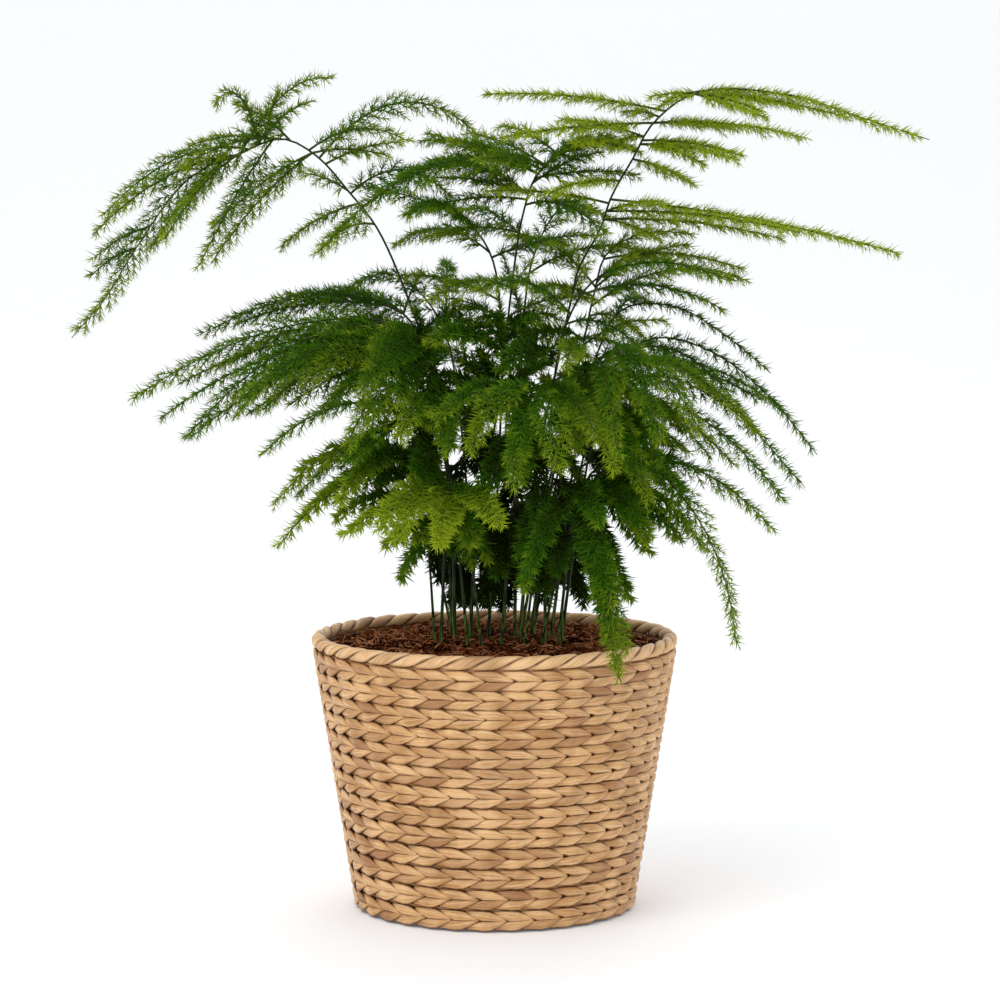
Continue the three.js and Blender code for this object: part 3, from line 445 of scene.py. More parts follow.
def through(points):
    """A centripetal Catmull-Rom line through the points, as the frame's stems are."""
    steps = 16
    ends = [2 * points[0] - points[1], *points, 2 * points[-1] - points[-2]]
    line = [points[0]]
    for x0, x1, x2, x3 in zip(ends, ends[1:], ends[2:], ends[3:]):
        d0, d1, d2 = (math.sqrt((b - a).length) for a, b in ((x0, x1), (x1, x2), (x2, x3)))
        leave = ((x1 - x0) / d0 - (x2 - x0) / (d0 + d1) + (x2 - x1) / d1) * d1
        arrive = ((x2 - x1) / d1 - (x3 - x1) / (d1 + d2) + (x3 - x2) / d2) * d1
        line += geometry.interpolate_bezier(x1, x1 + leave / 3, x2 - arrive / 3, x2, steps)[1:]
    return Line(line)


def bowed(start, control, tip, count=12):
    """A line bent evenly by one control point."""
    return Line(geometry.interpolate_bezier(
        start, start.lerp(control, 2 / 3), tip.lerp(control, 2 / 3), tip, count))


class Carrier:
    """Points and lines with named values, which a node tree turns into tubes and copies."""

    def __init__(self):
        self.points = []
        self.edges = []
        self.values = {}

    def note(self, values):
        """Keeps the values of one more point."""
        for name, value in values.items():
            self.values.setdefault(name, []).append(value)

    def line(self, points, closed=False, **values):
        """Adds a line. A value is one for all its points, or a list with one for each."""
        first = len(self.points)
        for i, point in enumerate(points):
            self.points.append(point)
            self.note({k: v[i] if isinstance(v, (list, tuple)) else v for k, v in values.items()})
        self.edges += [(first + i, first + i + 1) for i in range(len(points) - 1)]
        if closed:
            self.edges.append((len(self.points) - 1, first))

    def point(self, point, **values):
        """Adds a single point."""
        self.points.append(point)
        self.note(values)

    def object(self, name):
        """An object of the scene with the points, the lines and their values."""
        mesh = bpy.data.meshes.new(name)
        mesh.from_pydata([tuple(point * MM) for point in self.points], self.edges, [])
        for key, values in self.values.items():
            if isinstance(values[0], Quaternion):
                data_type, number = "QUATERNION", np.float32
            elif isinstance(values[0], int):
                data_type, number = "INT", np.int32
            else:
                data_type, number = "FLOAT", np.float32
            kept = mesh.attributes.new(key, data_type, "POINT")
            kept.data.foreach_set("value", np.array(values, number).ravel())
        obj = bpy.data.objects.new(name, mesh)
        bpy.context.scene.collection.objects.link(obj)
        return obj


# Node trees


def feed(tree, socket, value):
    """Links another node's socket to this one, or sets it to a fixed value or colour."""
    if isinstance(value, bpy.types.NodeSocket):
        tree.links.new(value, socket)
    elif socket.type == "RGBA":
        socket.default_value = (*value, 1.0)
    else:
        socket.default_value = value


def put(tree, kind, sockets=None, **settings):
    """Adds a node with its settings, and its sockets fed."""
    node = tree.nodes.new(kind)
    for name, value in settings.items():
        setattr(node, name, value)
    for name, value in (sockets or {}).items():
        feed(tree, node.inputs[name], value)
    return node


def read(tree, name, data_type="FLOAT"):
    """A named value of the points, in a geometry node tree."""
    node = put(tree, "GeometryNodeInputNamedAttribute", {"Name": name}, data_type=data_type)
    return node.outputs["Attribute"]


def of_kind(tree, kind):
    """Picks the carrier's points of one kind."""
    chosen = put(tree, "FunctionNodeCompare", data_type="INT", operation="EQUAL")
    ints = [socket for socket in chosen.inputs if socket.type == "INT"]
    tree.links.new(read(tree, "kind", "INT"), ints[0])
    ints[1].default_value = kind
    return chosen.outputs[0]


def stored(tree, shape, name, value):
    """Keeps a value under a name on the points of a shape."""
    return put(tree, "GeometryNodeStoreNamedAttribute", {
        "Geometry": shape, "Name": name, "Value": value}, data_type="FLOAT").outputs[0]


def geometry_tree(name):
    """An empty tree, with the socket that its carrier comes in by."""
    tree = bpy.data.node_groups.new(name, "GeometryNodeTree")
    tree.interface.new_socket("Geometry", in_out="INPUT", socket_type="NodeSocketGeometry")
    tree.interface.new_socket("Geometry", in_out="OUTPUT", socket_type="NodeSocketGeometry")
    return tree, put(tree, "NodeGroupInput").outputs[0]


def tubes(tree, source, kind, sides, material, flat=1.0, upright=False, tilted=False):
    """Skins the carrier's lines of one kind. Their radius and tilt are the values of those names."""
    curve = put(tree, "GeometryNodeMeshToCurve", {"Mesh": source, "Selection": of_kind(tree, kind)})
    line = curve.outputs[0]
    if upright:
        line = put(tree, "GeometryNodeSetCurveNormal", {"Curve": line}, mode="Z_UP").outputs[0]
    if tilted:
        line = put(tree, "GeometryNodeSetCurveTilt", {"Curve": line, "Tilt": read(tree, "tilt")}).outputs[0]
    circle = put(tree, "GeometryNodeCurvePrimitiveCircle", {"Resolution": sides, "Radius": 1.0})
    place = put(tree, "GeometryNodeInputPosition")
    parts = put(tree, "ShaderNodeSeparateXYZ", {0: place.outputs[0]})
    section = stored(tree, circle.outputs[0], "across", parts.outputs["Y"])
    if tilted:
        section = stored(tree, section, "outward", parts.outputs["X"])
    shaped = put(tree, "GeometryNodeTransform", {"Geometry": section, "Scale": (flat, 1.0, 1.0)})
    skin = put(tree, "GeometryNodeCurveToMesh", {
        "Curve": line, "Profile Curve": shaped.outputs[0], "Scale": read(tree, "radius"), "Fill Caps": True})
    smooth = put(tree, "GeometryNodeSetShadeSmooth", {"Geometry": skin.outputs[0]})
    coloured = put(tree, "GeometryNodeSetMaterial", {"Geometry": smooth.outputs[0], "Material": material})
    return coloured.outputs[0]


def copies(tree, source, kind, patterns):
    """Sets a pattern of the collection at each of the carrier's points of one kind."""
    choice = put(tree, "GeometryNodeCollectionInfo", {
        "Collection": patterns, "Separate Children": True, "Reset Children": True})
    placed = put(tree, "GeometryNodeInstanceOnPoints", {
        "Points": source, "Selection": of_kind(tree, kind), "Instance": choice.outputs[0],
        "Pick Instance": True, "Instance Index": read(tree, "pattern", "INT"),
        "Rotation": read(tree, "turn", "QUATERNION"), "Scale": read(tree, "size")})
    return put(tree, "GeometryNodeRealizeInstances", {"Geometry": placed.outputs[0]}).outputs[0]


def close_tree(tree, geometries):
    """Joins what the tree has made and sends it out."""
    joined = put(tree, "GeometryNodeJoinGeometry")
    for part in geometries:
        tree.links.new(part, joined.inputs[0])
    put(tree, "NodeGroupOutput", {0: joined.outputs[0]})


def grown(carrier, name, tree):
    """The carrier's object with the tree's result as its own mesh."""
    obj = carrier.object(name)
    lines = obj.data
    obj.modifiers.new(name, "NODES").node_group = tree
    depsgraph = bpy.context.evaluated_depsgraph_get()
    mesh = bpy.data.meshes.new_from_object(
        obj.evaluated_get(depsgraph), preserve_all_data_layers=True, depsgraph=depsgraph)
    obj.modifiers.clear()
    obj.data = mesh
    mesh.name = name
    bpy.data.meshes.remove(lines)
    for spent in ("kind", "pattern", "turn", "size", "radius", "tilt", "curve_normal"):
        if spent in mesh.attributes:
            mesh.attributes.remove(mesh.attributes[spent])
    return obj


def round_from_front(angle):
    """The way outward from the basket's axis, at an angle counted from the viewer's side."""
    return Vector((math.sin(angle), -math.cos(angle), 0))


def settle(obj, slot, *nodes):
    """Attaches a finished piece to the body that it rides on and hides the frame's parts that it stands for;
    its finish, slot, is not used.
    """
    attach(obj, BODY)
    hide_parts(*nodes)
    return obj


def bmesh_object(bm, name, material, smooth=True):
    """A new object of the scene with the bmesh as its mesh."""
    mesh = bpy.data.meshes.new(name)
    for face in bm.faces:
        face.smooth = smooth
    bm.to_mesh(mesh)
    bm.free()
    obj = bpy.data.objects.new(name, mesh)
    mesh.materials.append(material)
    bpy.context.scene.collection.objects.link(obj)
    return obj


def add_pattern(patterns, bm, name, material):
    """Puts the bmesh into the collection of patterns, out of the scene."""
    pattern = bmesh_object(bm, name, material, smooth=False)
    bpy.context.scene.collection.objects.unlink(pattern)
    patterns.objects.link(pattern)


def drop_patterns(patterns):
    """Removes the patterns after they have been copied."""
    for obj in list(patterns.objects):
        bpy.data.objects.remove(obj)
    bpy.data.collections.remove(patterns)


# Materials

# Partly painted light: the paler straw of the rope, for its own paler stalks and for the light on its
# up-facing top.
PALE_STRAW_AND_LIGHT = (0.90, 0.59, 0.30)
PALE_FIBRE = (0.97, 0.74, 0.47)
# Painted shade: the brown that the strands' edges and the rope's grooves are darkened towards.
GROOVE_SHADE_BROWN = (0.10, 0.027, 0.004)
# Painted shade: the near black brown where strands tuck deep under others.
TUCK_SHADE_BROWN = (0.07, 0.020, 0.004)
# Painted shade: the lighter mottle of the near black bed, in the hollows under the loose fibres.
HOLLOW_SHADE_BARK = (0.035, 0.008, 0.002)
DRY_BARK = (0.66, 0.28, 0.13)
DRY_STRAW = (0.52, 0.34, 0.17)
YOUNG_STEM = (0.13, 0.18, 0.02)
STEM_STREAK = (0.20, 0.33, 0.06)
POT_BLACK = (0.012, 0.011, 0.011)
WORN_BLACK = (0.02, 0.019, 0.018)
DAMP_SOIL = (0.008, 0.005, 0.003)
DRY_SOIL = (0.05, 0.028, 0.017)
PALE_FLOOR = (0.925, 0.935, 0.95)
WHITE = (1.0, 1.0, 1.0)


def value_group(name, inputs, outputs):
    """A shader node group that takes values, each with its usual one, and gives out others."""
    tree = bpy.data.node_groups.new(name, "ShaderNodeTree")
    for label, usual in inputs.items():
        socket = tree.interface.new_socket(label, in_out="INPUT", socket_type="NodeSocketFloat")
        socket.default_value = usual
    for label in outputs:
        tree.interface.new_socket(label, in_out="OUTPUT", socket_type="NodeSocketFloat")
    return tree


def blend(tree, factor, first, second):
    """Mixes two colours, each a socket or a fixed colour."""
    node = put(tree, "ShaderNodeMix", data_type="RGBA")
    for socket, value in zip((0, 6, 7), (factor, first, second)):
        feed(tree, node.inputs[socket], value)
    return node.outputs[2]


def spread(tree, value, low, high, to_low=0.0, to_high=1.0):
    """Maps a value's range onto another, clamped."""
    return put(tree, "ShaderNodeMapRange", {
        0: value, 1: low, 2: high, 3: to_low, 4: to_high}).outputs[0]


def fibre_group():
    """Lengthwise fibres on a strand: a fine mask and a slow change of tone along it."""
    tree = value_group(
        "lengthwise fibres", {"Across": 0.0, "Fineness": 0.11, "Run": 45.0}, ("Fibre", "Drift"))
    inputs = put(tree, "NodeGroupInput")
    place = object_place(tree)
    across = put(tree, "ShaderNodeMath", {
        0: inputs.outputs["Across"], 1: inputs.outputs["Fineness"]}, operation="MULTIPLY").outputs[0]
    fine = put(tree, "ShaderNodeTexNoise", {
        "Vector": place, "W": across, "Scale": inputs.outputs["Run"], "Detail": 5.0, "Roughness": 0.65},
        noise_dimensions="4D")
    slow = put(tree, "ShaderNodeTexNoise", {"Vector": place, "Scale": 70.0, "Detail": 3.0})
    put(tree, "NodeGroupOutput", {"Fibre": fine.outputs[0], "Drift": slow.outputs[0]})
    return tree


def named(name):
    """A material with an empty tree, its Principled shader and output."""
    material = bpy.data.materials.new(name)
    material.use_nodes = True
    tree = material.node_tree
    tree.nodes.clear()
    shader = put(tree, "ShaderNodeBsdfPrincipled")
    put(tree, "ShaderNodeOutputMaterial", {"Surface": shader.outputs[0]})
    return material, tree, shader


def attribute(tree, name):
    """A named value of the mesh, in a material."""
    return put(tree, "ShaderNodeAttribute", attribute_name=name).outputs["Fac"]


def object_place(tree):
    """The place of a point in the object's own frame, in a material."""
    return put(tree, "ShaderNodeTexCoord").outputs["Object"]


def surface(tree, shader, colour, roughness, gloss):
    """Gives the shader its colour, roughness and strength of reflection."""
    feed(tree, shader.inputs["Base Color"], colour)
    feed(tree, shader.inputs["Roughness"], roughness)
    feed(tree, shader.inputs["Specular IOR Level"], gloss)


def relief(tree, shader, height, strength, lift):
    """Raises the surface by a mask, by up to lift in millimetres."""
    bump = put(tree, "ShaderNodeBump", {"Height": height, "Strength": strength, "Distance": lift * MM})
    tree.links.new(bump.outputs[0], shader.inputs["Normal"])


def hyacinth_material(name, settings, fibres, lift, paler_and_lit=0.0, rope=False):
    """Dried water hyacinth: golden stalks with brown ones among them and fibres, with painted shade along
    the strands' edges, in the rope's grooves and where strands tuck under, and on the rope a paler straw
    that is partly painted light.
    """
    material, tree, shader = named(name)
    grain = put(tree, "ShaderNodeGroup", {"Across": attribute(tree, "across")}, node_tree=fibres)
    tone = attribute(tree, "tone")
    fibre = grain.outputs["Fibre"]
    usual = blend(tree, spread(tree, grain.outputs["Drift"], 0.38, 0.62), settings.tan, settings.straw)
    # Partly painted light: the rope is given a paler straw, which also stands for the light falling on its
    # up-facing top.
    bright = blend(tree, paler_and_lit, usual, PALE_STRAW_AND_LIGHT)
    pale = blend(tree, spread(tree, fibre, 0.47, 0.70, 0.0, 0.6), bright, PALE_FIBRE)
    browned = blend(tree, spread(tree, tone, 0.54, 0.88, 0.0, 0.65), pale, settings.umber)
    dark = blend(tree, spread(tree, fibre, 0.48, 0.34, 0.0, 0.45), browned, settings.umber)
    # Painted shade in the creases: on the plait, the strands' edges where leaves meet and overlap; on the
    # rope, each strand's inward side, in the grooves between strands.
    if rope:
        groove_shade = spread(tree, attribute(tree, "outward"), 0.05, -0.5, 0.0, 0.9)
    else:
        edge = put(tree, "ShaderNodeMath", {0: attribute(tree, "across")}, operation="ABSOLUTE").outputs[0]
        groove_shade = spread(tree, edge, 0.66, 0.95, 0.0, 0.85)
    groove_shaded = blend(tree, groove_shade, dark, GROOVE_SHADE_BROWN)
    # Painted shade where strands tuck under: the lower this value, the deeper the strand lies in the weave
    # and the more it is darkened, first to umber, then to a near black brown.
    fold = attribute(tree, "fold")
    shaded = blend(tree, spread(tree, fold, 0.80, 0.45, 0.0, 0.5), groove_shaded, settings.umber)
    folded = blend(tree, spread(tree, fold, 0.5, 0.12, 0.0, 0.7), shaded, TUCK_SHADE_BROWN)
    surface(tree, shader, folded, roughness=spread(tree, fibre, 0.35, 0.65, 0.55, 0.4), gloss=0.45)
    relief(tree, shader, fibre, strength=0.6, lift=lift)
    return material


def plain_material(name, colour, second, roughness, scale, lift, gloss=0.04):
    """A mottled matt surface that varies between two colours."""
    material, tree, shader = named(name)
    mottle = put(tree, "ShaderNodeTexNoise", {
        "Vector": object_place(tree), "Scale": scale, "Detail": 6.0, "Roughness": 0.6}).outputs[0]
    mixed = blend(tree, spread(tree, mottle, 0.35, 0.65), colour, second)
    surface(tree, shader, mixed, roughness, gloss)
    relief(tree, shader, mottle, strength=0.6, lift=lift)
    return material


def shred_material(settings):
    """Bark shreds whose tone goes from damp brown over red bark to dry straw."""
    material, tree, shader = named("bark shreds")
    tone = attribute(tree, "tone")
    grain = put(tree, "ShaderNodeTexNoise", {
        "Vector": object_place(tree), "Scale": 900.0, "Detail": 3.0}).outputs[0]
    base = blend(tree, spread(tree, tone, 0.05, 0.5), settings.dark_bark_and_hollow_shade, settings.bark)
    light = blend(tree, spread(tree, tone, 0.5, 1.0), base, DRY_BARK)
    straw = blend(tree, spread(tree, tone, 0.97, 1.0), light, DRY_STRAW)
    worn = blend(tree, spread(tree, grain, 0.55, 0.3, 0.0, 0.5), straw, settings.dark_bark_and_hollow_shade)
    surface(tree, shader, worn, roughness=0.9, gloss=0.04)
    relief(tree, shader, grain, strength=0.5, lift=0.2)
    return material


def needle_material(settings):
    """Needles from deep green to yellow-green: the deep green inside is partly painted shade of the dense
    mass, and the yellow-green at the tips is young growth and partly painted light shining through the thin
    needles.
    """
    material, tree, shader = named("fern needles")
    fresh = attribute(tree, "fresh")
    grown_up = blend(tree, spread(tree, fresh, 0.0, 0.45), settings.deep_green_and_shade, settings.leaf_green)
    young = blend(tree, spread(tree, fresh, 0.45, 1.0), grown_up, settings.young_and_lit_green)
    surface(tree, shader, young, roughness=0.6, gloss=0.03)
    return material


def stem_material(settings):
    """Wiry stems: nearly black green, paler where they are young, with pale streaks at the foot."""
    material, tree, shader = named("fern stems")
    fresh = attribute(tree, "fresh")
    place = object_place(tree)
    stretched = put(tree, "ShaderNodeMapping", {"Vector": place, "Scale": (900.0, 900.0, 60.0)})
    streak = put(tree, "ShaderNodeTexNoise", {"Vector": stretched.outputs[0], "Scale": 1.0, "Detail": 3.0})
    base = blend(tree, spread(tree, fresh, 0.1, 0.9), settings.stem_green, YOUNG_STEM)
    height = put(tree, "ShaderNodeSeparateXYZ", {0: place}).outputs["Z"]
    low = spread(tree, height, 0.205, 0.165)
    streaked = put(tree, "ShaderNodeMath", {
        0: spread(tree, streak.outputs[0], 0.46, 0.64, 0.0, 0.95), 1: low}, operation="MULTIPLY").outputs[0]
    surface(tree, shader, blend(tree, streaked, base, STEM_STREAK), roughness=0.5, gloss=0.15)
    return material


# Basket

# One pass of a strand over the front of the plait, a leaf: share of the pass, how far aside of the
# seam it lies as a share of the sway, how far out as a share of the weave's depth, and how wide it
# is as a share of the strand. The last step dives behind to the other side.
PLAIT_PASS = (
    (0.0, 1.05, -0.45, 0.55),
    (0.07, 1.10, 0.15, 0.80),
    (0.23, 1.14, 0.60, 0.74),
    (0.33, 0.99, 0.90, 1.0),
    (0.45, 0.92, 1.0, 0.92),
    (0.60, 0.54, 1.0, 0.56),
    (0.71, 0.14, 0.85, 0.26),
    (0.79, -0.10, -0.90, 0.45),
)
PLAIT_STRANDS = 4

# In millimetres: how far the leaves stand out from the solid wall, how unsteady a strand is, how far
# a row of leaves lies from the seam in the base, and the radius that is left bare in its middle.
LEAVES_PROUD = 0.8
STRAND_WOBBLE = 0.3
BASE_SWAY = 3.2
BASE_MIDDLE = 12.0

# Strands of the rope, in millimetres where they are sizes.
ROPE_STRANDS = 2
ROPE_STRAND_WIDTH = 6.6
ROPE_STRAND_THICKNESS = 5.6

# Kinds of lines in the basket: strands, and the cords behind the seams of the wall.
STRAND = 0
CORD = 1


def wall_radius(height):
    """Outer radius of the wall at a height."""
    return FOOT_RADIUS + WALL_SLOPE * height


def plait_ring(carrier, rng, settings, radius, height, sway, start, flat_ring=False):
    """Adds a ring of plait, whose leaves meet along a seam as chevrons."""
    leaf_pitch = settings.leaf_pitch / MM
    depth = settings.weave_depth / MM
    passes = 2 * round(2 * math.pi * radius / leaf_pitch / PLAIT_STRANDS)
    for strand in range(PLAIT_STRANDS):
        seed = rng.random() * 900
        points, tones, folds, radii = [], [], [], []
        for number in range(passes):
            side = 1 if number % 2 else -1
            own_tone = rng.uniform(-0.24, 0.24)
            own_width = rng.uniform(0.95, 1.05)
            shift = start + rng.uniform(-0.025, 0.025)
            for share, aside, out, width in PLAIT_PASS:
                angle = 2 * math.pi * (number + share + 2 * strand / PLAIT_STRANDS + shift) / passes
                spot = round_from_front(angle)
                wobble = noise.noise(Vector((seed, 9 * spot.x, 9 * spot.y)))
                across = side * sway * aside + STRAND_WOBBLE * wobble
                if flat_ring:
                    point = spot * (radius + across) + Vector((0, 0, height - depth * out))
                else:
                    point = spot * (radius + depth * out + WALL_SLOPE * across)
                    point.z = height + across
                points.append(point)
                patch = noise.noise(Vector((2.2 * spot.x + seed, 2.2 * spot.y, seed)))
                tones.append(0.5 + 0.4 * patch + own_tone)
                # How far out the strand lies, kept to paint shade where it tucks under its neighbours.
                folds.append(0.5 + 0.5 * out)
                radii.append(width * own_width)
        carrier.line(points, closed=True, kind=STRAND, tone=tones, fold=folds, radius=radii)


def scaled_radii(carrier, half_width):
    """Turns radii that are shares of half a strand's width into metres."""
    carrier.values["radius"] = [half_width * MM * value for value in carrier.values["radius"]]


class FERN_OT_wall(bpy.types.Operator):
    """Coil the plait of the basket's wall"""
    bl_idname = "fern.wall"
    bl_label = "Plaited wall"

    def execute(self, context):
        settings = context.scene.fern_basket
        rng = random.Random(3)
        width = settings.strand_width / MM
        thickness = settings.strand_thickness / MM
        depth = settings.weave_depth / MM
        sway = settings.sway / MM
        lowest = sway + width / 2 + LEAVES_PROUD
        highest = RIM_UNDERSIDE - sway - 0.4 * width
        wider_at_foot = 0.06
        carrier = Carrier()
        heights = []
        for course in range(settings.courses):
            share = course / (settings.courses - 1)
            height = lowest + (highest - lowest) * share * (1 + wider_at_foot * (1 - share))
            heights.append(height)
            radius = wall_radius(height) - depth - thickness / 2 + LEAVES_PROUD
            start = rng.uniform(-0.08, 0.08)
            plait_ring(carrier, rng, settings, radius, height, sway, start)
        seams = [(below + above) / 2 for below, above in zip(heights, heights[1:])]
        under_rope = RIM_UNDERSIDE - 0.2
        for height in (*seams, under_rope):
            self.cord(carrier, height, wall_radius(height) - 2 * depth)
        scaled_radii(carrier, width / 2)
        material = hyacinth_material("plaited hyacinth", settings, fibre_group(), lift=0.22)
        tree, source = geometry_tree("plait strands")
        close_tree(tree, [
            tubes(tree, source, STRAND, 8, material, flat=thickness / width, upright=True),
            tubes(tree, source, CORD, 5, material),
        ])
        settle(grown(carrier, "plait_wall", tree), "hyacinth_plait", "basket_wall")
        return {"FINISHED"}

    def cord(self, carrier, height, radius):
        """A cord behind the seam of two courses, which they are sewn to."""
        steps = 60
        up = Vector((0, 0, height))
        ring = [radius * round_from_front(2 * math.pi * i / steps) + up for i in range(steps)]
        # The cord lies behind the seams, and its low value paints it in shade.
        carrier.line(ring, closed=True, kind=CORD, tone=0.5, fold=0.45, radius=0.5)


class FERN_OT_rim(bpy.types.Operator):
    """Twist the fat rope of the basket's rim"""
    bl_idname = "fern.rim"
    bl_label = "Rope rim"

    def execute(self, context):
        settings = context.scene.fern_basket
        rng = random.Random(5)
        carrier = Carrier()
        for strand in range(ROPE_STRANDS):
            self.strand(carrier, rng.random() * 900, settings.rope_lays, strand / ROPE_STRANDS)
        material = hyacinth_material(
            "twisted hyacinth", settings, fibre_group(), lift=0.3, paler_and_lit=0.35, rope=True)
        tree, source = geometry_tree("rope strands")
        flat = ROPE_STRAND_THICKNESS / ROPE_STRAND_WIDTH
        close_tree(tree, [tubes(tree, source, STRAND, 10, material, flat, upright=True, tilted=True)])
        settle(grown(carrier, "rope_rim", tree), "hyacinth_rope", "basket_rim")
        return {"FINISHED"}

    def strand(self, carrier, seed, lays, lead):
        """Adds a strand that winds round the rope's middle, ahead of the first by a share of a lay."""
        rope_radius = ROPE_THICKNESS / 2
        offset = rope_radius - ROPE_STRAND_THICKNESS / 2
        centre = RIM_RADIUS - rope_radius
        height = RIM_TOP - rope_radius
        steps = 14
        count = lays * steps
        points, tones, radii, folds, tilts = [], [], [], [], []
        for i in range(count):
            twist = 2 * math.pi * (i / steps + lead)
            spot = round_from_front(2 * math.pi * i / count)
            wobble = noise.noise(Vector((seed, 7 * spot.x, 7 * spot.y)))
            out = offset * math.cos(twist)
            points.append(spot * (centre + out) + Vector((0, 0, height + offset * math.sin(twist))))
            patch = noise.noise(Vector((5.5 * spot.x + seed, 5.5 * spot.y, seed)))
            tones.append(0.42 + 0.6 * patch)
            # A little lower at the rope's top and underside, for painted shade there.
            folds.append(0.99 - 0.12 * abs(math.sin(twist)))
            tilts.append(-twist)
            pinch = 1 - 0.16 * math.sin(twist) ** 4
            radii.append(ROPE_STRAND_WIDTH / 2 * MM * pinch * (1 + 0.10 * wobble))
        carrier.line(points, closed=True, kind=STRAND, tone=tones, fold=folds, radius=radii, tilt=tilts)


class FERN_OT_base(bpy.types.Operator):
    """Coil the flat plait of the basket's underside"""
    bl_idname = "fern.base"
    bl_label = "Coiled base"

    def execute(self, context):
        settings = context.scene.fern_basket
        rng = random.Random(11)
        rings = 5
        edge = wall_radius(0) - WALL_THICKNESS
        width = settings.strand_width / MM
        flat = settings.strand_thickness / settings.strand_width
        spacing = (edge - BASE_MIDDLE) / rings
        carrier = Carrier()
        for ring in range(rings):
            radius = BASE_MIDDLE + (ring + 0.5) * spacing
            start = rng.uniform(0, 6)
            plait_ring(carrier, rng, settings, radius, BASE_THICKNESS / 2, BASE_SWAY, start, flat_ring=True)
        carrier.line(self.spiral(), kind=STRAND, tone=0.5, fold=0.7, radius=0.95)
        scaled_radii(carrier, width / 2)
        material = hyacinth_material("coiled hyacinth", settings, fibre_group(), lift=0.35)
        tree, source = geometry_tree("base strands")
        close_tree(tree, [tubes(tree, source, STRAND, 6, material, upright=True)])
        obj = grown(carrier, "plait_base", tree)
        squash = Matrix.Diagonal((1, 1, flat, 1))
        lift = Matrix.Translation((0, 0, BASE_THICKNESS / 2 * MM))
        obj.data.transform(lift @ squash @ lift.inverted())
        settle(obj, "hyacinth_plait", "basket_base")
        return {"FINISHED"}

    def spiral(self):
        """The start of the coil, in the bare middle."""
        turns = 2.4
        steps = 60
        half_way_up = Vector((0, 0, BASE_THICKNESS / 2))
        points = []
        for i in range(steps + 1):
            share = i / steps
            reach = 1.5 + (BASE_MIDDLE - 2.5) * share
            points.append(reach * round_from_front(2 * math.pi * turns * share) + half_way_up)
        return points


# What the basket holds

# Kinds of lines and points in the mulch.
SHRED = 0
CHIP = 1


def mulch_height(x, y):
    """Top of the mulch bed: a low mound with waves, lumps and crumbs."""
    edge = wall_radius(MULCH_TOP) - WALL_THICKNESS
    sunk = 0.4
    mound = MULCH_MOUND * (1 - math.hypot(x, y) / edge)
    waves = 0.7 * (math.sin(x * 0.21 + y * 0.13) + math.sin(y * 0.27 - x * 0.09))
    lumps = 1.6 * noise.noise(Vector((x * 0.11, y * 0.11, 3.1)))
    crumbs = 0.8 * noise.noise(Vector((x * 0.45, y * 0.45, 7.7)))
    return MULCH_TOP - sunk + mound + waves + lumps + crumbs


def free_spot(rng, reach, feet):
    """A random place on the bed, off the stems."""
    while True:
        radius = reach * math.sqrt(rng.random())
        angle = rng.uniform(0, 2 * math.pi)
        spot = Vector((radius * math.cos(angle), radius * math.sin(angle), 0))
        if all((spot - foot).length > 2 * STEM_RADIUS + 0.2 for foot in feet):
            return spot


def shred_line(rng, start, reach, curl, steps, limit):
    """Points of a curled fibre that follows the bed and stays within a radius."""
    bearing = rng.uniform(0, 2 * math.pi)
    curl *= rng.uniform(-1.0, 1.0)
    rise = rng.uniform(0.2, 2.2)
    arch = rng.uniform(0.4, 3.2)
    lean = rng.uniform(-0.35, 0.75) * (1.0 if rng.random() < 0.4 else 0.3)
    points = []
    at = start.copy()
    for k in range(steps + 1):
        share = k / steps
        lift = rise + lean * reach * share * 0.35 + arch * math.sin(math.pi * share)
        points.append(Vector((at.x, at.y, mulch_height(at.x, at.y) + lift)))
        turn = bearing + curl * share
        at += Vector((math.cos(turn), math.sin(turn), 0)) * reach / steps
        if at.length > limit:
            at *= limit / at.length
    return points


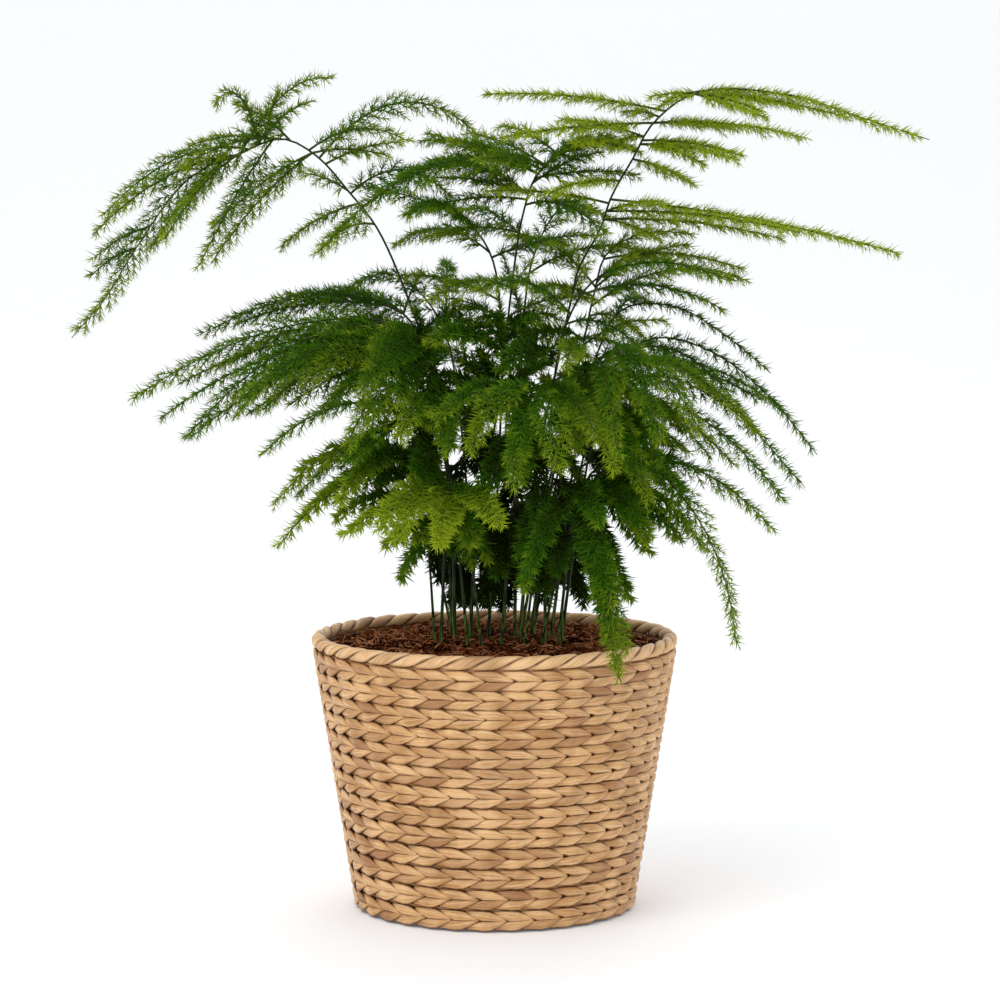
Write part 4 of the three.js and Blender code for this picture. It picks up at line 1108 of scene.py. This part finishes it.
class FERN_OT_mulch(bpy.types.Operator):
    """Spread the shredded bark over the soil"""
    bl_idname = "fern.mulch"
    bl_label = "Mulch"

    def execute(self, context):
        settings = context.scene.fern_mulch
        rng = random.Random(21)
        gap = 0.4
        edge = wall_radius(MULCH_BOTTOM) - WALL_THICKNESS - gap
        feet = [Vector((*plan["foot"], 0)) for plan in SHOOTS.values()]
        self.bed(settings, edge)
        material = shred_material(settings)
        self.shreds(settings, rng, edge, feet, material)
        self.chips(settings, rng, edge, feet, material)
        return {"FINISHED"}

    def bed(self, settings, edge):
        """The lumpy bed that the loose bark lies on: a section turned round the axis."""
        rings = 36
        steps = 120
        bm = bmesh.new()
        section = [bm.verts.new((x, 0, MULCH_BOTTOM)) for x in (0, edge)]
        section += [bm.verts.new((edge * (1 - i / rings), 0, MULCH_TOP)) for i in range(rings + 1)]
        for a, b in zip(section, section[1:]):
            bm.edges.new((a, b))
        bmesh.ops.spin(bm, geom=bm.verts[:] + bm.edges[:], cent=(0, 0, 0), axis=(0, 0, 1),
                       angle=2 * math.pi, steps=steps, use_merge=True)
        bmesh.ops.remove_doubles(bm, verts=bm.verts, dist=1e-4)
        for vert in bm.verts:
            if vert.co.z > MULCH_BOTTOM + 1:
                vert.co.z = mulch_height(vert.co.x, vert.co.y)
        bmesh.ops.recalc_face_normals(bm, faces=bm.faces)
        bmesh.ops.scale(bm, vec=(MM, MM, MM), verts=bm.verts)
        # The bed's near black colours are painted shade in the hollows between the loose fibres.
        look = plain_material(
            "mulch bed", settings.dark_bark_and_hollow_shade, HOLLOW_SHADE_BARK, roughness=0.95, scale=260.0, lift=1.2)
        settle(bmesh_object(bm, "mulch_bed", look), "bark_mulch", "mulch")

    def shreds(self, settings, rng, edge, feet, material):
        """Curled fibres that follow the bed, some with an end in the air."""
        carrier = Carrier()
        for _ in range(settings.fibres):
            long = rng.random() < 0.2
            reach = rng.uniform(14, 26) if long else rng.uniform(6, 13)
            curl = 6.0 if long else 4.8
            steps = 9 if long else 6
            points = shred_line(rng, free_spot(rng, edge - 5, feet), reach, curl, steps, edge - 1.5)
            thick = rng.uniform(0.35, 0.6) if long else rng.uniform(0.35, 0.75)
            tone = rng.random() ** 0.8
            if tone > 0.93 and rng.random() < 0.6:
                tone *= 0.8
            radii = [thick * MM * (1 - 0.65 * abs(2 * k / steps - 1) ** 3) for k in range(steps + 1)]
            carrier.line(points, kind=SHRED, tone=tone, radius=radii)
        tree, source = geometry_tree("shreds")
        close_tree(tree, [tubes(tree, source, SHRED, 3, material, flat=0.7)])
        settle(grown(carrier, "mulch_fibres", tree), "bark_mulch", "mulch")

    def chips(self, settings, rng, edge, feet, material):
        """Flat splinters of bark that lie on the bed at all angles."""
        shapes = 3
        patterns = bpy.data.collections.new("chip patterns")
        # Blender seeds its vector noise by the clock where a script doesn't.
        noise.seed_set(4)
        for k in range(shapes):
            bm = bmesh.new()
            bmesh.ops.create_cube(bm, size=1.0)
            long_edges = [e for e in bm.edges if abs((e.verts[0].co - e.verts[1].co).x) > 0.5]
            bmesh.ops.subdivide_edges(bm, edges=long_edges, cuts=2)
            for vert in bm.verts:
                taper = 1 - (0.35 + 0.3 * k / shapes) * abs(2 * vert.co.x) ** 2
                vert.co = Vector((vert.co.x, vert.co.y * 0.34 * taper, vert.co.z * 0.13 * taper))
                vert.co += 0.05 * noise.noise_vector(vert.co * 3 + Vector((k * 5.0, 0, 0)))
            bmesh.ops.recalc_face_normals(bm, faces=bm.faces)
            add_pattern(patterns, bm, "chip_%d" % k, material)
        carrier = Carrier()
        for _ in range(settings.chips):
            spot = free_spot(rng, edge - 4, feet)
            spot.z = mulch_height(spot.x, spot.y) + rng.uniform(0.1, 1.1)
            turn = Quaternion((0, 0, 1), rng.uniform(0, 2 * math.pi))
            turn @= Quaternion((0, 1, 0), rng.gauss(0, 0.3)) @ Quaternion((1, 0, 0), rng.gauss(0, 0.5))
            carrier.point(spot, kind=CHIP, tone=rng.random() ** 1.1, pattern=rng.randrange(shapes),
                          turn=turn, size=rng.uniform(2.5, 7.5) * MM)
        tree, source = geometry_tree("chips")
        close_tree(tree, [copies(tree, source, CHIP, patterns)])
        settle(grown(carrier, "mulch_chips", tree), "bark_mulch", "mulch")
        drop_patterns(patterns)


class FERN_OT_fillings(bpy.types.Operator):
    """Give the pot and the soil their finish"""
    bl_idname = "fern.fillings"
    bl_label = "Pot and soil"

    def execute(self, context):
        looks = {
            "inner_pot": plain_material(
                "pot plastic", POT_BLACK, WORN_BLACK, roughness=0.5, scale=120.0, lift=0.1, gloss=0.4),
            "soil": plain_material(
                "potting soil", DAMP_SOIL, DRY_SOIL, roughness=0.95, scale=300.0, lift=1.0),
        }
        for node, material in looks.items():
            slots = frame["nodes"][node].data.materials
            slots.clear()
            slots.append(material)
        return {"FINISHED"}


# Fern

SKY = Vector((0, 0, 1))

# Kinds of lines and points in a shoot's carrier.
THICK_LINE = 0
THIN_LINE = 1
TUFT = 2

# Patterns of tufts: the first ones are for usual growth, then one for tips and one for the coarse tufts in
# the heart of the plant.
USUAL_PATTERNS = 3
TIP_PATTERN = 3
OLD_PATTERN = 4

# The heart of the plant, where tufts are coarser and painted a darker green as shade of the dense mass: how
# far that reaches, how much coarser and less fresh they are in its middle, and the depth from which a tuft
# has the coarse pattern.
HEART = Vector((0, 0, 228))
HEART_REACH = 145
AGED_COARSER = 0.3
HEART_SHADE = 0.9
OLD_AGE = 0.12

# Radii at the root and the tip of a plume's axis and of a side twig, the steps of their lines, and
# the distance between tufts on an axis.
PLUME_RADII = (0.75, 0.3)
TWIG_RADII = (0.32, 0.14)
LINE_STEP = 7.0
AXIS_TUFT_SPACING = 3.0


def tuft_patterns(material):
    """Tufts of needles round +Z, of length 1: three full ones, a narrow one and a coarse one."""
    patterns = bpy.data.collections.new("tuft patterns")
    rng = random.Random(17)
    # Of each tuft: the number of needles, how far they lean out in degrees, and their root's radius.
    kinds = ((4, 46, 0.06), (5, 42, 0.06), (5, 50, 0.06), (4, 20, 0.05), (5, 50, 0.11))
    for k, (needles, lean_out, root) in enumerate(kinds):
        bm = bmesh.new()
        for i in range(needles):
            around = 2 * math.pi * (i + rng.uniform(-0.25, 0.25)) / needles
            lean = math.radians(lean_out + rng.uniform(-12, 12))
            length = rng.uniform(0.75, 1.15)
            turn = Matrix.Rotation(around, 4, "Z") @ Matrix.Rotation(lean, 4, "Y")
            place = Matrix.Translation((0, 0, rng.uniform(-0.2, 0.2))) @ turn
            place = place @ Matrix.Translation((0, 0, length / 2))
            bmesh.ops.create_cone(bm, cap_ends=True, segments=3, radius1=root, radius2=0.0,
                                  depth=length, matrix=place)
        add_pattern(patterns, bm, "tuft_%d" % k, material)
    return patterns


def across_plume(tangent, roll):
    """The way across a plume: level, or rolled so that the side towards -Y hangs lower."""
    level = SKY.cross(tangent).normalized()
    above = tangent.cross(level)
    angle = math.radians(roll) * (1 if level.y > 0 else -1)
    return level * math.cos(angle) + above * math.sin(angle)


def twig_length(width, share):
    """How long a side twig is at a share of its plume: short at the root, longest a third along."""
    return 3 + 0.85 * width * min(1, 0.5 + 1.6 * share) * max(0, 1 - share) ** 0.8


class Grower:
    """Grows one shoot into a carrier: stem, plumes, side twigs and tufts of needles."""

    def __init__(self, plan, filling, settings, seed):
        self.plan = plan
        self.filling = filling
        self.rng = random.Random(seed)
        self.carrier = Carrier()
        self.needle = settings.needle_length / MM
        self.tuft_spacing = settings.tuft_spacing / MM
        self.twig_spacing = settings.twig_spacing / MM

    def wire(self, line, kind, radii, fresh):
        """Adds a line with these radii, in metres, at even steps."""
        self.carrier.line(line.spaced(len(radii) - 1), kind=kind, radius=radii, fresh=fresh, pattern=0,
                          size=0.0, turn=Quaternion())

    def strand(self, line, kind, radii, fresh):
        """Adds a line that tapers evenly from the first radius to the second."""
        thick, thin = radii
        count = max(1, round(line.length / LINE_STEP))
        self.wire(line, kind, [(thick + (thin - thick) * i / count) * MM for i in range(count + 1)], fresh)

    def tuft(self, spot, heading, pattern, size, fresh):
        """Sets a tuft, coarser and painted a darker green as shade the nearer it is to the heart of the
        plant.
        """
        turn = heading.to_track_quat("Z", "Y") @ Quaternion((0, 0, 1), self.rng.uniform(0, 2 * math.pi))
        depth_in_heart = max(0, 1 - (spot - HEART).length / HEART_REACH)
        size *= 1 + AGED_COARSER * depth_in_heart
        # Painted shade: the green is made darker towards the heart of the plant.
        fresh = min(1.0, max(0.0, fresh - HEART_SHADE * depth_in_heart))
        if depth_in_heart > OLD_AGE:
            pattern = OLD_PATTERN
        self.carrier.point(spot, kind=TUFT, pattern=pattern, size=size * MM, turn=turn, radius=0.0,
                           fresh=fresh)

    def dress(self, line, start, spacing, size, fresh, brighter):
        """Sets tufts along a twig, smaller and fresher towards its tip, fresher being young growth and
        partly painted light through the needles.
        """
        at = start
        end = 0.97
        step = spacing / line.length
        while at < end:
            taper = 1 - 0.45 * at ** 2
            self.tuft(line.at(at), line.heading(at), self.rng.randrange(USUAL_PATTERNS),
                      size * taper * self.rng.uniform(0.85, 1.15),
                      fresh + brighter * at ** 2 + self.rng.uniform(-0.08, 0.08))
            at += step * self.rng.uniform(0.8, 1.2)
        self.tuft(line.at(end), line.heading(end), TIP_PATTERN, size * 0.62, fresh + brighter)

    def twig(self, start, heading, length, fresh):
        """A side twig that bows a little and droops at its tip."""
        droop = Vector((0, 0, -0.12 * length))
        tip = start + heading * length + droop + self.rng.uniform(-0.06, 0.06) * length * SKY
        control = start + heading * length * 0.5 + SKY * 0.04 * length
        line = bowed(start, control, tip, 8)
        self.strand(line, THIN_LINE, TWIG_RADII, fresh)
        self.dress(line, 0.08, self.tuft_spacing, self.needle, fresh, brighter=0.3)

    def branch(self, line, start, width, roll, fresh):
        """Side twigs, left and right in turn, with small tufts between them."""
        rng = self.rng
        at = start
        end = 0.985
        side = 1
        while at < end:
            share = (at - start) / (1 - start)
            tangent = line.heading(at)
            across = across_plume(tangent, roll) * side
            length = twig_length(width, share) * rng.uniform(0.8, 1.15)
            forward = 0.7 + 0.4 * share
            sideways = 0.62
            heading = tangent * forward + across * sideways + SKY * rng.uniform(-0.35, 0.12)
            heading.normalize()
            # Fresher towards the plume's tip: young growth, and partly painted light shining through the
            # needles.
            green = fresh + 0.25 * share ** 2 + rng.uniform(-0.08, 0.08)
            self.twig(line.at(at), heading, length, green)
            at += self.twig_spacing * rng.uniform(0.8, 1.2) / line.length
            side = -side
        first = start + 0.1 * (1 - start)
        self.dress(line, first, AXIS_TUFT_SPACING, self.needle * 0.9, fresh, brighter=0.4)

    def grow(self):
        """Grows the stem and its own leafy end, then the plumes."""
        plan = self.plan
        x, y = plan["foot"]
        ground = Vector((x, y, MULCH_TOP + STRAIGHT_ABOVE_MULCH))
        stem = through([ground, *(Vector(point) for point in plan["stem"])])
        foot = Vector((x, y, SOIL_TOP - HOLE_DEPTH + FOOT_GAP))
        self.stem_line(Line([foot, ground, *stem.points[1:]]), plan["leafy"])
        self.branch(stem, plan["leafy"], plan["width"], plan["roll"], plan["fresh"])
        for share, *tip, lift, width in plan["plumes"] + self.filling:
            start = stem.at(share)
            end = Vector(tip)
            control = (start + end) / 2 + SKY * 2 * lift
            plume = bowed(start, control, end, 24)
            fresh = plan["fresh"] + self.rng.uniform(-0.1, 0.1)
            self.strand(plume, THICK_LINE, PLUME_RADII, fresh=0.25)
            self.branch(plume, PLUME_BARE, width, plan["roll"], fresh)
        return self.carrier

    def stem_line(self, line, leafy):
        """The stem, thickest at its foot and thin where it is leafy."""
        count = max(8, round(line.length / LINE_STEP))
        radii = []
        for i in range(count + 1):
            share = i / count
            radius = STEM_TIP_RADIUS + (STEM_RADIUS - STEM_TIP_RADIUS) * max(0, 1 - share / leafy) ** 2.6
            if share > leafy:
                radius *= 1 - 0.6 * (share - leafy) / (1 - leafy)
            radii.append(radius * MM)
        self.wire(line, THICK_LINE, radii, fresh=0.1)


class FERN_OT_shoots(bpy.types.Operator):
    """Grow every leafy shoot on its own stem"""
    bl_idname = "fern.shoots"
    bl_label = "Shoots"

    def execute(self, context):
        settings = context.scene.fern_fern
        needles = needle_material(settings)
        stems = stem_material(settings)
        patterns = tuft_patterns(needles)
        tree, source = geometry_tree("shoot growth")
        close_tree(tree, [
            tubes(tree, source, THICK_LINE, 8, stems),
            tubes(tree, source, THIN_LINE, 3, stems),
            copies(tree, source, TUFT, patterns),
        ])
        first_seed = 100
        for seed, (name, plan) in enumerate(SHOOTS.items(), first_seed):
            carrier = Grower(plan, FILLING[name], settings, seed).grow()
            settle(grown(carrier, "fern_" + name, tree), "fern", "shoot_" + name)
        drop_patterns(patterns)
        return {"FINISHED"}


# Stage


class FERN_OT_stage(bpy.types.Operator):
    """Set the pale floor, the soft lights and the camera"""
    bl_idname = "fern.stage"
    bl_label = "Stage"

    def execute(self, context):
        settings = context.scene.fern_stage
        self.floor()
        self.light("key", place=(-0.9, -1.3, 1.9), size=1.6, power=18.5)
        self.light("fill", place=(1.5, -1.2, 1.2), size=1.6, power=0.5)
        self.light("back", place=(0.2, 1.2, 1.8), size=1.4, power=8.0)
        self.daylight(context.scene, strength=0.85)
        self.camera(context.scene, settings)
        context.scene.view_settings.view_transform = "Standard"
        return {"FINISHED"}

    def daylight(self, scene, strength):
        """An even white light from all round."""
        world = bpy.data.worlds.new("soft daylight")
        world.use_nodes = True
        backdrop = world.node_tree.nodes["Background"]
        feed(world.node_tree, backdrop.inputs["Color"], WHITE)
        feed(world.node_tree, backdrop.inputs["Strength"], strength)
        scene.world = world

    def camera(self, scene, settings):
        """The camera at the photo's place, looking a little down."""
        camera = bpy.data.cameras.new("camera")
        camera.lens = settings.lens
        camera.sensor_width = 36.0
        camera.clip_start = 0.1
        camera.clip_end = 50.0
        seat = bpy.data.objects.new("camera", camera)
        seat.location = (settings.camera_side, -settings.camera_distance, settings.camera_height)
        seat.rotation_euler = (math.radians(90) - settings.camera_pitch, 0, 0)
        scene.collection.objects.link(seat)
        scene.camera = seat

    def floor(self):
        """A pale floor that sweeps up behind the object."""
        near = -3.5
        far = 3.0
        bend = 1.2
        top = 4.0
        width = 8.0
        bm = bmesh.new()
        corner = bm.verts.new((0, near, 0))
        edge = bm.verts.new((0, far - bend, 0))
        bm.edges.new((corner, edge))
        turned = bmesh.ops.spin(bm, geom=[edge], cent=(0, far - bend, bend), axis=(1, 0, 0),
                                angle=math.radians(90), steps=16)
        last = [v for v in turned["geom_last"] if isinstance(v, bmesh.types.BMVert)][0]
        head = bm.verts.new((0, far, top))
        bm.edges.new((last, head))
        bmesh.ops.translate(bm, vec=(-width / 2, 0, 0), verts=bm.verts)
        drawn = bmesh.ops.extrude_edge_only(bm, edges=bm.edges[:])
        moved = [v for v in drawn["geom"] if isinstance(v, bmesh.types.BMVert)]
        bmesh.ops.translate(bm, vec=(width, 0, 0), verts=moved)
        material, tree, shader = named("pale floor")
        surface(tree, shader, PALE_FLOOR, roughness=0.9, gloss=0.5)
        feed(tree, shader.inputs["Emission Color"], WHITE)
        feed(tree, shader.inputs["Emission Strength"], 0.07)
        bmesh_object(bm, "floor", material)

    def light(self, name, place, size, power):
        """A round soft light that points at the middle of the plant."""
        lamp = bpy.data.lights.new(name, "AREA")
        lamp.shape = "DISK"
        lamp.size = size
        lamp.energy = power
        obj = bpy.data.objects.new(name, lamp)
        obj.location = place
        target = Vector((0, 0, 0.2))
        obj.rotation_euler = (target - obj.location).to_track_quat("-Z", "Y").to_euler()
        bpy.context.scene.collection.objects.link(obj)


OPERATORS = (FERN_OT_stage, FERN_OT_wall, FERN_OT_rim, FERN_OT_base, FERN_OT_fillings, FERN_OT_mulch,
             FERN_OT_shoots)


class FERN_PT_panel(bpy.types.Panel):
    """Lists the steps that dress the fern"""
    bl_idname = "FERN_PT_panel"
    bl_label = "Potted fern"
    bl_space_type = "VIEW_3D"
    bl_region_type = "UI"
    bl_category = "Fern"

    def draw(self, context):
        for operator in OPERATORS:
            self.layout.operator(operator.bl_idname)


SETTINGS = {
    "fern_basket": BasketSettings,
    "fern_mulch": MulchSettings,
    "fern_fern": FernSettings,
    "fern_stage": StageSettings,
}


def register():
    """Registers the settings, the steps and the panel."""
    for item in (*SETTINGS.values(), *OPERATORS, FERN_PT_panel):
        bpy.utils.register_class(item)
    for name, settings in SETTINGS.items():
        setattr(bpy.types.Scene, name, PointerProperty(type=settings))


def unregister():
    """Takes away what register() has added."""
    for name in SETTINGS:
        delattr(bpy.types.Scene, name)
    for item in (FERN_PT_panel, *OPERATORS, *reversed(SETTINGS.values())):
        bpy.utils.unregister_class(item)


def main():
    """Registers the settings and the steps, then dresses the frame step by step."""
    register()
    bpy.ops.fern.stage()
    bpy.ops.fern.wall()
    bpy.ops.fern.rim()
    bpy.ops.fern.base()
    bpy.ops.fern.fillings()
    bpy.ops.fern.mulch()
    bpy.ops.fern.shoots()


if __name__ == "__main__":
    main()
